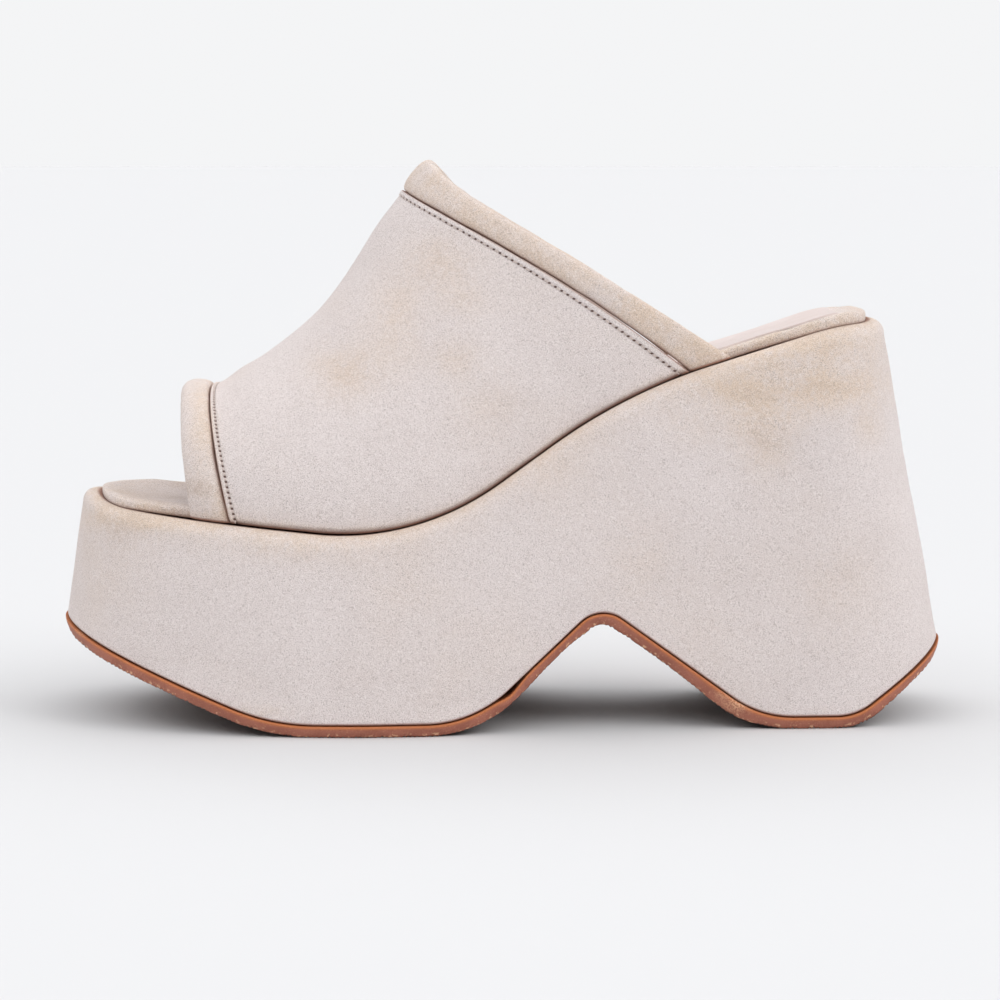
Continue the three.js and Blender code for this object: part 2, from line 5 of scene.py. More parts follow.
import bpy
import numpy as np
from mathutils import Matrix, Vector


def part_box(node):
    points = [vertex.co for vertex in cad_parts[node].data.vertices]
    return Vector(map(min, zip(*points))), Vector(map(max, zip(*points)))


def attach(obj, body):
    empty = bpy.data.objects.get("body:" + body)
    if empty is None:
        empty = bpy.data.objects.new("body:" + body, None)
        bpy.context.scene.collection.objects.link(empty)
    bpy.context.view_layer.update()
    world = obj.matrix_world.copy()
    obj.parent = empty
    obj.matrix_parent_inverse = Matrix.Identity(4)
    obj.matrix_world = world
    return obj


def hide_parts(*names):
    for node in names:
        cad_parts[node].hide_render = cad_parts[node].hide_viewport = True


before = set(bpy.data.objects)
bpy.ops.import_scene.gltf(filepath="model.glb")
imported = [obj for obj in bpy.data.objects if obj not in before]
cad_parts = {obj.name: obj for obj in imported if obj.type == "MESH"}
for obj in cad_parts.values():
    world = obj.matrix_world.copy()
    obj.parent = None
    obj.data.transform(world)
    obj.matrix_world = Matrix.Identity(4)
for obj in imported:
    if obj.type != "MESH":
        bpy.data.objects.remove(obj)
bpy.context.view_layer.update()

MM = 0.001
ROOT = "root"
SUEDE, LEATHER, RUBBER = "suede", "smooth_leather", "outsole_rubber"

# Sizes shared with the solids
outsole_low, outsole_high = (np.array(corner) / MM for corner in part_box("outsole"))
LENGTH = outsole_high[0] - outsole_low[0]
WIDTH = outsole_high[1] - outsole_low[1]
GAP = 0.3
OUTSOLE_THICKNESS = 3.4
OUTSOLE_OVERHANG = 0.6
OUTSOLE_BEVEL = 1.2
TOE_SPRING_ANGLE = math.radians(21.3)
HEEL_CHAMFER_ANGLE = math.radians(35)
NOTCH_HEIGHT = 34.9
BALL_SEAT = 59.6
HEEL_RISE = 61.5
TOE_RISE = 6.8
SIDE_LEAN = 5
TOE_LEAN = 5.5
HEEL_LEAN = 17.7
TOP_EDGE_RADIUS = 5
FOOTBED_MARGIN = 4.5
FOOTBED_THICKNESS = 3.2
DISH_DEPTH = 1.5
DISH_SLOPE = 13
SOCK_MARGIN = 5.2
SOCK_LENGTH = 108
COLLAR_HEIGHT = 111.6
WALL = 2.6
UPPER_MARGIN = 5.5
SIDE_BULGE = 1.6
TOE_ROLL_WIDTH = 10.4
COLLAR_ROLL_WIDTH = 9.6
ROLL_THICKNESS = 6
ROLL_STANDS_OUT = 1.2
ROLL_FOOT_THICKNESS = 2.6

# The camera of the photo: its place in millimetres, its tilt below level, and its focal length in pixels
CAMERA_PLACE = np.array([0.35, 1000.0, 180.8])
CAMERA_TILT = math.radians(6.574)
PHOTO_SIZE = 1000
FOCAL_PIXELS = 3240
SENSOR_WIDTH = 36

# Outline of the platform at the height of its flats. Columns: share of the length from the toe, lateral and
# medial reach as shares of half the width, lean as a share of SIDE_LEAN
OUTLINE = [
    (0.0, -0.14, -0.14, 0),
    (0.02, 0.31, -0.5, 0.4),
    (0.06, 0.6, -0.77, 0.8),
    (0.12, 0.8, -0.915, 1),
    (0.2, 0.935, -0.98, 1),
    (0.27, 0.985, -1, 1),
    (0.34, 1, -0.975, 1.05),
    (0.42, 0.965, -0.9, 1.1),
    (0.5, 0.885, -0.815, 1.1),
    (0.6, 0.79, -0.735, 1),
    (0.7, 0.735, -0.705, 0.85),
    (0.8, 0.71, -0.71, 0.7),
    (0.87, 0.685, -0.7, 0.6),
    (0.93, 0.59, -0.63, 0.5),
    (0.97, 0.43, -0.46, 0.3),
    (1.0, -0.02, -0.02, 0),
]

# Corners of the platform's underside, heel to toe. Columns: share of the length from the toe, share of
# NOTCH_HEIGHT above the flats, radius
UNDERSIDE = [(0.894, 0, 18), (0.787, 0, 32), (0.6095, 1, 10), (0.471, 0, 36), (0.249, 0, 70)]

# Corners of its top, heel to toe. Columns: share of the length from the toe, shares of HEEL_RISE and of
# TOE_RISE above the ball seat, radius
SEAT = [
    (0.9589, 1.034, 0, 0),
    (0.8665, 1, 0, 60),
    (0.6376, 0.676, 0, 172),
    (0.4079, -0.044, 0, 82),
    (0.0503, 0, 1, 50),
    (0.0235, 0, 1.56, 0),
]

# Sections of the upper from the toe edge to the collar edge. Columns: place along the band, both feet and
# the ridge as shares of the length from the toe, height as a share of COLLAR_HEIGHT, the ridge's offset as a
# share of half the width, fullness of both sides, bow and dip as shares of the length
UPPER_COLUMNS = (
    "u lateral_foot medial_foot ridge height side lateral_fullness medial_fullness bow dip"
).split()
UPPER = [
    (0, 0.1559, 0.1559, 0.139, 0.3765, -0.07, 2.3, 2.6, 0, 0),
    (0.08, 0.1985, 0.1985, 0.1696, 0.3728, -0.07, 2.3, 2.6, 0, 0),
    (0.19, 0.2569, 0.2569, 0.2065, 0.422, -0.075, 2.25, 2.6, 0, 0),
    (0.315, 0.3307, 0.3307, 0.2466, 0.483, -0.08, 2.2, 2.55, 0, 0),
    (0.45, 0.4155, 0.4155, 0.2888, 0.577, -0.085, 2.2, 2.5, 0.001, 0),
    (0.585, 0.5004, 0.5004, 0.3236, 0.678, -0.085, 2.2, 2.45, 0.003, 0),
    (0.74, 0.597, 0.595, 0.3572, 0.805, -0.08, 2.25, 2.4, 0.006, 0),
    (0.927, 0.7124, 0.705, 0.3908, 0.917, -0.07, 2.3, 2.4, 0.0095, -0.002),
    (1, 0.7543, 0.745, 0.4186, 1, -0.06, 2.3, 2.4, 0, -0.009),
]


def x_at(share):
    return LENGTH / 2 - share * LENGTH


def smooth_step(value, start, end):
    """0 before start, 1 after end, and 3t^2 - 2t^3 between them."""
    t = np.clip((value - start) / (end - start), 0, 1)
    return t * t * (3 - 2 * t)


def smooth_curve(places, values):
    """A curve through the values that never swings past them: cubic spans, whose slope at a value is the
    harmonic mean of the rises beside it, or nothing where they turn."""
    places, values = np.array(places, float), np.array(values, float)
    rise = np.diff(values) / np.diff(places)
    product, total = rise[:-1] * rise[1:], rise[:-1] + rise[1:]
    inner = np.where(product > 0, 2 * product / np.where(total == 0, 1, total), 0)
    slope = np.concatenate([rise[:1], inner, rise[-1:]])

    def read(place):
        place = np.asarray(place, float)
        i = np.clip(np.searchsorted(places, place, side="right") - 1, 0, len(places) - 2)
        span = places[i + 1] - places[i]
        t = np.clip((place - places[i]) / span, 0, 1)
        keep = values[i] * (1 + 2 * t) * (1 - t) ** 2 + values[i + 1] * t * t * (3 - 2 * t)
        return keep + span * (slope[i] * t * (1 - t) ** 2 + slope[i + 1] * t * t * (t - 1))

    return read


def rounded_profile(corners):
    """Height and slope at x of straight lines through corners (x, z, radius), heel to toe. On a round the
    height is its centre's, less or plus the root of radius squared less the distance from it squared."""
    x, z, radius = np.array(corners, float).T
    line = np.arctan2(np.diff(z), np.diff(x))
    turn = line[1:] - line[:-1]
    bend, radius = np.sign(turn), radius[1:-1]
    reach = radius * np.tan(abs(turn) / 2)
    start = x[1:-1] - reach * np.cos(line[:-1])
    end = x[1:-1] + reach * np.cos(line[1:])
    centre_x = start - bend * radius * np.sin(line[:-1])
    centre_z = z[1:-1] - reach * np.sin(line[:-1]) + bend * radius * np.cos(line[:-1])

    def read(at):
        at = np.asarray(at, float)
        k = np.clip(np.searchsorted(x, at, side="right") - 1, 0, len(x) - 2)
        slope = np.tan(line[k])
        height = z[k] + slope * (at - x[k])
        for i in range(len(radius)):
            on = (at >= start[i]) & (at <= end[i])
            away = at - centre_x[i]
            root = np.sqrt(np.maximum(radius[i] ** 2 - away**2, 1e-9))
            height = np.where(on, centre_z[i] - bend[i] * root, height)
            slope = np.where(on, bend[i] * away / root, slope)
        return height, slope

    return read


FLAT_Z = OUTSOLE_THICKNESS + GAP
low_corners = [(x_at(share), FLAT_Z + notch * NOTCH_HEIGHT, radius) for share, notch, radius in UNDERSIDE]
CHAMFER_X, SPRING_X = low_corners[0][0], low_corners[-1][0]
underside = rounded_profile([
    (x_at(1), FLAT_Z + math.tan(HEEL_CHAMFER_ANGLE) * (CHAMFER_X - x_at(1)), 0),
    *low_corners,
    (x_at(0), FLAT_Z + math.tan(TOE_SPRING_ANGLE) * (x_at(0) - SPRING_X), 0),
])
seat_profile = rounded_profile([
    (x_at(share), BALL_SEAT + heel * HEEL_RISE + toe * TOE_RISE, radius) for share, heel, toe, radius in SEAT
])


def seat(x):
    """Height of the platform's top at x."""
    return seat_profile(x)[0]


def outline_column(column):
    """An outline column read by the angle whose cosine runs from 1 at the toe to -1 at the heel."""
    places = [math.acos(1 - 2 * row[0]) for row in OUTLINE]
    read = smooth_curve(places, [row[column] for row in OUTLINE])
    return lambda share: read(np.arccos(np.clip(1 - 2 * share, -1, 1)))


lateral_reach, medial_reach, lean_share = (outline_column(column) for column in (1, 2, 3))
TIP = LENGTH / 2 - OUTSOLE_OVERHANG


def reach_at_flats(foot_x, top_x):
    """Where the leaning end line from the top through the foot comes to the height of the flats."""
    foot_z, top_z = float(underside(foot_x)[0]), float(seat(top_x))
    return foot_x + (foot_x - top_x) * (foot_z - FLAT_Z) / (top_z - foot_z)


TOE_REACH = reach_at_flats(TIP, TIP - TOE_LEAN)
HEEL_REACH = reach_at_flats(-TIP, HEEL_LEAN - TIP)
LEAN_STARTS = 0.22
FOOT_STEPS = 12


def end_lean(share):
    """How far the top has moved along x: the whole lean at the tips, fading with the square to nothing."""
    past = np.clip((abs(share - 0.5) - LEAN_STARTS) / (0.5 - LEAN_STARTS), 0, 1) ** 2
    return past * np.where(share < 0.5, TIP - TOE_LEAN - TOE_REACH, HEEL_LEAN - TIP - HEEL_REACH)


def wall(share, side, f):
    """Points of the platform's wall, where f is 0 at the height of the flats and 1 at the top. side is 1 on
    the lateral half of the outline and -1 on the medial half."""
    x = TOE_REACH + (HEEL_REACH - TOE_REACH) * share
    reach = np.where(side > 0, lateral_reach(share), medial_reach(share))
    y = reach * (WIDTH / 2 - OUTSOLE_OVERHANG) - side * lean_share(share) * SIDE_LEAN * f
    top_x = x + end_lean(share)
    return np.stack([x + (top_x - x) * f, y, FLAT_Z + (seat(top_x) - FLAT_Z) * f], -1)


def wall_foot(share, side):
    """The wall's points on the underside, found by stepping f until the heights agree."""
    top_z = wall(share, side, 1.0)[:, 2]
    f = np.zeros(len(share))
    for _ in range(FOOT_STEPS):
        f = (underside(wall(share, side, f)[:, 0])[0] - FLAT_Z) / (top_z - FLAT_Z)
    return wall(share, side, f)


def inward(points):
    """Unit directions in plan, to the inside of the line between the neighbours of each point of a ring."""
    along = np.roll(points, -1, 0) - np.roll(points, 1, 0)
    across = np.stack([-along[:, 1], along[:, 0]], -1)
    return across / np.linalg.norm(across, axis=1)[:, None]


def inset(points, distance):
    """The points of a ring moved inwards in plan by a distance."""
    moved = points.copy()
    moved[:, :2] += inward(points) * np.broadcast_to(distance, len(points))[:, None]
    return moved


class Ring:
    """The closed outline of the platform with steps stations on each side, close together at the round ends:
    toe tip, lateral side, heel tip, medial side."""

    def __init__(self, steps):
        share = (1 - np.cos(np.pi * np.arange(steps + 1) / steps)) / 2
        self.share = np.concatenate([share, share[-2:0:-1]])
        self.side = np.where(np.arange(2 * steps) <= steps, 1.0, -1.0)
        self.foot = wall_foot(self.share, self.side)
        self.top = wall(self.share, self.side, 1.0)
        self.lateral = np.arange(steps + 1)
        self.medial = -np.arange(steps + 1) % (2 * steps)

    def top_inset(self, distance, height):
        """The top outline moved inwards, at a height above the platform's top."""
        moved = inset(self.top, distance)
        moved[:, 2] = seat(moved[:, 0]) + height
        return moved


# Two rings, the finer one for the outsole's ribs, and the line that the upper's feet stand on
fine = Ring(420)
sole_ring = Ring(1000)
upper_foot = fine.top_inset(UPPER_MARGIN, GAP)


def side_at(points, lateral, x):
    """y at x of one side of points around the fine ring."""
    side = points[fine.lateral if lateral else fine.medial]
    return np.interp(x, side[::-1, 0], side[::-1, 1])


section = {
    name: smooth_curve([row[0] for row in UPPER], [row[i] for row in UPPER])
    for i, name in enumerate(UPPER_COLUMNS)
}
DIP_AT = 0.82


def half_upper(u, v, name, outward):
    """One half of upper_face, where v is from 0 at the ridge to 1 at the foot."""
    angle = v * np.pi / 2
    power = section[name + "_fullness"](u)
    sine, cosine = np.maximum(np.sin(angle), 1e-9), np.maximum(np.cos(angle), 1e-9)
    size = (sine**power + cosine**power) ** (1 / power)
    across, up = sine / size, cosine / size
    foot_x = x_at(section[name + "_foot"](u))
    foot_y, foot_z = side_at(upper_foot, outward > 0, foot_x), seat(foot_x) + GAP
    ridge_x, ridge_y = x_at(section["ridge"](u)), section["side"](u) * WIDTH / 2
    ridge_z = BALL_SEAT + COLLAR_HEIGHT * section["height"](u)
    chord_x, chord_z = ridge_x - foot_x, ridge_z - foot_z
    chord = np.hypot(chord_x, chord_z)
    middle = 4 * up * (1 - up)
    near_ridge = (up / DIP_AT) ** (DIP_AT / (1 - DIP_AT)) * (1 - up) / (1 - DIP_AT)
    bow = (section["bow"](u) * middle + section["dip"](u) * near_ridge) * LENGTH
    x = foot_x + chord_x * up - chord_z / chord * bow
    y = ridge_y + (foot_y - ridge_y) * across + outward * SIDE_BULGE * middle * across
    z = foot_z + chord_z * up + chord_x / chord * bow
    return np.stack([x, y, z], -1)


def upper_face(u, v):
    """The outer face of the upper. u runs from the toe edge (0) to the collar edge (1), v from the lateral
    foot (1) over the ridge (0) to the medial foot (-1). Each half section is a quarter of a superellipse on
    a chord that leans from the foot to the ridge, bent by the bow and the dip."""
    u, v = np.broadcast_arrays(np.asarray(u, float), np.asarray(v, float))
    lateral = half_upper(u, abs(v), "lateral", 1)
    medial = half_upper(u, abs(v), "medial", -1)
    return np.where((v >= 0)[..., None], lateral, medial)


NUDGE = 1e-3


def upper_normal(u, v):
    """Unit normal of upper_face: the cross product of its steps along v and u."""
    along_u = upper_face(u + NUDGE, v) - upper_face(u - NUDGE, v)
    along_v = upper_face(u, np.minimum(v + NUDGE, 1)) - upper_face(u, np.maximum(v - NUDGE, -1))
    normal = np.cross(along_v, along_u)
    return normal / np.linalg.norm(normal, axis=-1)[..., None]


def upper_points(u, v, out):
    """Points that stand out from the outer face along its normal, and at the feet stay above the seat."""
    points = upper_face(u, v) + upper_normal(u, v) * np.asarray(out)[..., None]
    low = seat(points[..., 0]) + GAP
    points[..., 2] = np.maximum(points[..., 2], low)
    return points


half_way = upper_face(np.linspace(0, 1, 61), 0.5)
BAND_LENGTH = np.linalg.norm(np.diff(half_way, axis=0), axis=1).sum()
TOE_SEAM = TOE_ROLL_WIDTH / BAND_LENGTH
COLLAR_SEAM = 1 - COLLAR_ROLL_WIDTH / BAND_LENGTH
SEAM_GAP = GAP / BAND_LENGTH
WAVE_COUNT, WAVE_SPREAD = 14, (0.7, 1.5)


def waves(points, length, seed):
    """Soft noise between about -1 and 1: the sum of plane waves of seeded direction and phase, about one
    length long, over the root of their number."""
    random = np.random.default_rng(seed)
    direction = random.normal(size=(WAVE_COUNT, 3))
    direction /= np.linalg.norm(direction, axis=1)[:, None]
    pitch = 2 * np.pi / (length * random.uniform(*WAVE_SPREAD, WAVE_COUNT))
    phase = random.uniform(0, 2 * np.pi, WAVE_COUNT)
    total = np.zeros(points.shape[:-1])
    for d, p, start in zip(direction, pitch, phase):
        total += np.sin(points @ d * p + start)
    return total / math.sqrt(WAVE_COUNT)


def swells(points, rows):
    """The sum of waves, one for each row (height, length, seed)."""
    return sum(height * waves(points, length, seed) for height, length, seed in rows)


def bell(distance, reach):
    """exp(-(distance / reach) squared)."""
    return np.exp(-((distance / reach) ** 2))


def photo_place(points):
    """Pixels (across, down) where the photo's camera sees points, those of the medial side mirrored."""
    mirrored = points.copy()
    mirrored[..., 1] = abs(mirrored[..., 1])
    way = mirrored - CAMERA_PLACE
    sine, cosine = math.sin(CAMERA_TILT), math.cos(CAMERA_TILT)
    depth = -way[..., 1] * cosine - way[..., 2] * sine
    up = -way[..., 1] * sine + way[..., 2] * cosine
    across = PHOTO_SIZE / 2 - FOCAL_PIXELS * way[..., 0] / depth
    return across, PHOTO_SIZE / 2 - FOCAL_PIXELS * up / depth


def blobs(points, rows):
    """Soft round spots: for each row (across, down, radius across, radius down, amount) the amount times
    exp(-distance squared), all added up."""
    across, down = photo_place(points)
    total = np.zeros(points.shape[:-1])
    for u, v, wide, high, amount in rows:
        total += amount * np.exp(-(((across - u) / wide) ** 2) - ((down - v) / high) ** 2)
    return total


def troughs(points, rows):
    """Soft creases: for each row (across, down, across, down, width, depth) depth times a bell curve of the
    distance from the line between the two places."""
    across, down = photo_place(points)
    total = np.zeros(points.shape[:-1])
    for u0, v0, u1, v1, wide, depth in rows:
        du, dv = u1 - u0, v1 - v0
        t = np.clip(((across - u0) * du + (down - v0) * dv) / (du * du + dv * dv), 0, 1)
        away = np.hypot(across - u0 - t * du, down - v0 - t * dv)
        total += depth * bell(away, wide)
    return total


def ring_faces(rows, columns):
    """Quads between rows of points that close on themselves across the columns."""
    row, column = np.meshgrid(np.arange(rows - 1), np.arange(columns), indexing="ij")
    after = (column + 1) % columns
    a, b = row * columns, (row + 1) * columns
    return np.stack([a + column, a + after, b + after, b + column], -1).reshape(-1, 4)


def sheet_faces(rows, columns):
    """Quads between rows of points that stay open across the columns."""
    faces = ring_faces(rows, columns).reshape(rows - 1, columns, 4)
    return faces[:, :-1].reshape(-1, 4)


def strip_faces(one, other):
    """Faces between two lines of points. Where both lines share a point the face is a triangle."""
    quads = np.stack([one[:-1], one[1:], other[1:], other[:-1]], -1)
    first, last = quads[:, 0] == quads[:, 3], quads[:, 1] == quads[:, 2]
    triangles = quads[first][:, :3].tolist() + quads[last][:, [0, 1, 3]].tolist()
    return quads[~first & ~last].tolist() + triangles


def volume_of(points, faces):
    """Six times the volume inside closed faces."""
    quads = np.array([f if len(f) == 4 else [*f, f[2]] for f in faces])
    a, b, c, d = (points[quads[:, k]] for k in range(4))
    return (np.einsum("ij,ij->i", a, np.cross(b, c)) + np.einsum("ij,ij->i", a, np.cross(c, d))).sum()


SHARP_ANGLE = math.radians(50)


def piece(name, points, faces, slot, replaces=(), closed=True, **values):
    """A mesh piece that rides on the shoe. values are float or vector attributes of its points."""
    points = points.reshape(-1, 3)
    if closed and volume_of(points, faces) < 0:
        faces = [face[::-1] for face in faces]
    mesh = bpy.data.meshes.new(name)
    mesh.from_pydata((points * MM).tolist(), [], faces)
    mesh.polygons.foreach_set("use_smooth", np.ones(len(faces), bool))
    mesh.set_sharp_from_angle(angle=SHARP_ANGLE)
    for key, value in values.items():
        value = np.asarray(value, np.float32)
        if value.size == points.size:
            mesh.attributes.new(key, "FLOAT_VECTOR", "POINT").data.foreach_set("vector", value.ravel())
        else:
            mesh.attributes.new(key, "FLOAT", "POINT").data.foreach_set("value", value.ravel())
    made = bpy.data.objects.new(name, mesh)
    bpy.context.scene.collection.objects.link(made)
    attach(made, ROOT)
    if replaces:
        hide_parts(*replaces)
    return made


# Where the suede has yellowed, in the photo's pixels: across, down, radius across, radius down, amount
STAINS = [
    (345, 372, 34, 26, 0.55),
    (395, 318, 24, 40, 0.4),
    (440, 262, 34, 26, 0.45),
    (462, 300, 22, 18, 0.3),
    (455, 358, 26, 20, 0.3),
    (485, 410, 36, 34, 0.22),
    (330, 300, 20, 20, 0.1),
    (200, 440, 10, 34, 0.35),
    (200, 405, 9, 20, 0.25),
    (760, 420, 34, 26, 0.6),
    (745, 392, 26, 14, 0.45),
    (835, 388, 44, 20, 0.55),
    (868, 425, 16, 22, 0.35),
    (795, 400, 30, 24, 0.35),
    (765, 455, 26, 18, 0.3),
    (690, 425, 26, 20, 0.25),
    (640, 560, 40, 50, 0.18),
    (835, 585, 50, 50, 0.18),
    (700, 640, 50, 40, 0.12),
    (400, 595, 40, 20, 0.12),
    (110, 560, 40, 60, 0.18),
    (130, 515, 40, 12, 0.45),
    (260, 712, 30, 8, 0.3),
    (820, 345, 60, 14, 0.45),
    (800, 372, 105, 34, 0.4),
    (712, 385, 30, 16, 0.3),
    (170, 520, 90, 12, 0.4),
    (300, 545, 60, 12, 0.25),
    (560, 480, 46, 40, 0.12),
    # The last row tints the toe's dish, to go with the painted shadow there
    (160, 489, 34, 8, 0.9),
]

# Where it is darker: stains, and two rows of painted shade
DARK_STAINS_AND_SHADE = [
    (755, 396, 26, 7, 0.5),
    (815, 388, 34, 8, 0.35),
    (765, 440, 24, 16, 0.3),
    (849, 573, 10, 9, 0.35),
    # painted shade where the platform's toe end turns away from the light
    (118, 532, 22, 24, 0.35),
    (345, 372, 26, 14, 0.25),
    (440, 265, 26, 16, 0.25),
    (455, 355, 24, 12, 0.15),
    (505, 400, 30, 12, 0.18),
    (152, 655, 40, 20, 0.2),
    (380, 680, 50, 14, 0.15),
    # painted shadow that the vamp casts into the toe's dish
    (168, 489, 30, 9, 2.4),
    (80, 560, 22, 50, 0.2),
]

# Creases in the photo's pixels: across, down, across, down, width, depth in millimetres
VAMP_CREASES = [
    (240, 398, 262, 500, 9, 0.22),
    (285, 372, 300, 430, 12, 0.18),
    (330, 330, 372, 400, 14, 0.2),
    (372, 268, 430, 330, 16, 0.22),
    (430, 240, 500, 300, 15, 0.16),
    (470, 395, 560, 372, 13, 0.2),
    (420, 455, 520, 440, 14, 0.16),
]
PLATFORM_CREASES = [
    (118, 520, 122, 600, 16, 0.2),
    (160, 640, 260, 690, 14, 0.14),
    (560, 480, 640, 590, 22, 0.2),
    (730, 395, 830, 388, 9, 0.16),
    (745, 430, 800, 455, 14, 0.16),
    (860, 500, 880, 620, 20, 0.18),
]
TOE_CREASES = [
    (118, 492, 165, 497, 4, 0.35),
    (150, 484, 185, 488, 3, 0.3),
]

# Where the outsole has flaked and where it has come away, in the photo's pixels
FLAKED_SPOTS = [
    (738, 704, 12, 7, 1.0),
    (723, 695, 8, 5, 0.5),
    (85, 632, 7, 4, 0.7),
]
PEELED_SPOT = (511, 689, 12, 30, 1.3)

# Soft waves: height in millimetres, length, seed
PLATFORM_WAVES = [(0.22, 42, 3), (0.09, 13, 4)]
FOOTBED_WAVES = [(0.16, 22, 5), (0.07, 8, 6)]
SOCK_WAVES = [(0.16, 22, 5), (0.06, 26, 7)]
VAMP_WAVES = [(0.22, 34, 11), (0.07, 12, 12)]
RIB_WAVES = [(0.5, 3.1, 8)]
SOLE_EDGE_WAVES = [(0.07, 2.3, 9)]

# Yellowing, and painted shade, that the mask near seams and edges adds
RUBBED_TINT, SHADE_BY_SEAMS = 0.9, 0.25


def suede_values(points, yellowed_and_shaded, seam_shade):
    """Attributes that the suede reads: tint, how yellow it is, shade, how dark, and the seam mask, how far
    the reddish brown of painted crevice shade covers it. The second argument adds to the first two:
    yellowing, and painted shade beside seams and edges."""
    return {
        "tint": blobs(points, STAINS) + RUBBED_TINT * yellowed_and_shaded,
        "shade": blobs(points, DARK_STAINS_AND_SHADE) + SHADE_BY_SEAMS * yellowed_and_shaded,
        "seam_shade": np.clip(seam_shade, 0, 1),
    }


LOWER_TURN = 0.9
# Heights of the cover's lowest rows, and where the even ones start
LOW_ROWS = np.array([0, 0.15, 0.4, 0.8, 1.3])
WALL_FROM, WALL_ROWS, ROUND_ROWS = 2, 56, 9
CALM_ABOVE_SOLE = 6
# Rows under the footbed: how much further in, and height above the platform's top
TUCK_ROWS = [(0.7, -0.5), (1.6, -1.1)]


def platform_cover():
    """The platform's suede: rows from a turned-in lower edge up the wall, a quarter round along the top, and
    a tuck under the footbed. Soft waves and creases move the wall across its outline."""
    edge = fine.top_inset(0, -TOP_EDGE_RADIUS)
    height = edge[:, 2] - fine.foot[:, 2]
    share = np.concatenate([LOW_ROWS[:, None] / height, np.linspace(WALL_FROM / height, 1, WALL_ROWS)])
    rows = fine.foot + (edge - fine.foot) * share[..., None]
    above = rows[..., 2] - fine.foot[:, 2]
    turned = LOWER_TURN * (1 - np.sqrt(1 - (1 - np.clip(above / LOWER_TURN, 0, 1)) ** 2))
    relief = swells(rows, PLATFORM_WAVES) - troughs(rows, PLATFORM_CREASES)
    relief *= smooth_step(above, 0, CALM_ABOVE_SOLE)
    rows[..., :2] += inward(fine.foot) * (turned - relief)[..., None]
    angles = np.linspace(0, np.pi / 2, ROUND_ROWS)[1:]
    top = []
    for angle, keep in zip(angles, np.linspace(1, 0, ROUND_ROWS)[1:]):
        across, up = TOP_EDGE_RADIUS * (1 - math.cos(angle)), TOP_EDGE_RADIUS * (math.sin(angle) - 1)
        row = fine.top_inset(across, up)
        row[:, :2] -= inward(row) * (relief[-1] * keep)[:, None]
        top.append(row)
    under_footbed = TOP_EDGE_RADIUS + TIP_MARGIN * tips(fine.share)
    tuck = [fine.top_inset(under_footbed + more, height) for more, height in TUCK_ROWS]
    points = np.concatenate([rows, top, tuck])
    from_seam = np.concatenate([
        TOP_EDGE_RADIUS * np.pi / 2 + edge[:, 2] - rows[..., 2],
        np.broadcast_to((TOP_EDGE_RADIUS * (np.pi / 2 - angles))[:, None], (len(top), len(edge))),
        np.zeros((len(tuck), len(edge))),
    ])
    # Beside the top seam the suede yellows and takes painted shade; along its lowest edge and in the top
    # seam, the reddish brown of painted crevice shade
    yellowed_and_shaded = 0.7 * bell(from_seam, 3.6) + 0.35 * bell(from_seam, 10)
    low_edge_shade = 0.9 * (1 - smooth_step(points[..., 2] - fine.foot[:, 2], 0.1, 0.9))
    return points, suede_values(points, yellowed_and_shaded, np.maximum(low_edge_shade, bell(from_seam, 0.5)))


def capped_piece(name, points, one, other, slot, replaces=(), **values):
    """A closed piece from stacked rings of points, the first and last ring closed by a strip between the
    stations one and the stations other."""
    rows, columns = points.shape[:2]
    last = (rows - 1) * columns
    faces = ring_faces(rows, columns).tolist()
    faces += strip_faces(other, one) + strip_faces(last + one, last + other)
    return piece(name, points, faces, slot, replaces, **values)


def ring_piece(name, ring, points, slot, replaces, **values):
    return capped_piece(name, points, ring.lateral, ring.medial, slot, replaces, **values)


def upper_piece(name, points, slot, replaces=(), **values):
    """A capped piece of the upper from a closed loop at each arch position."""
    half = np.arange(points.shape[1] // 2)
    return capped_piece(name, points, half, points.shape[1] - 1 - half, slot, replaces, **values)


SQUARE_FROM_TIP = 20
RIB_PITCH = 1.3
RIB_DEPTH = 0.4
LEDGE_REACH = 2
EDGE_ROUND = 0.25
BEVEL_CURVE = 1.6
# Where the outsole is ground thinner or left thicker: share of the length, reach, thickness added
SOLE_SWELLS = [(0.566, 10, -0.9), (0.745, 10, 1.0), (0.965, 10, -0.9)]
# How its lower edge is rounded beside the notch: distance from the notch, reach, depth
NOTCH_AWAY, NOTCH_REACH, NOTCH_SAG = 4.2, 2.6, 0.5


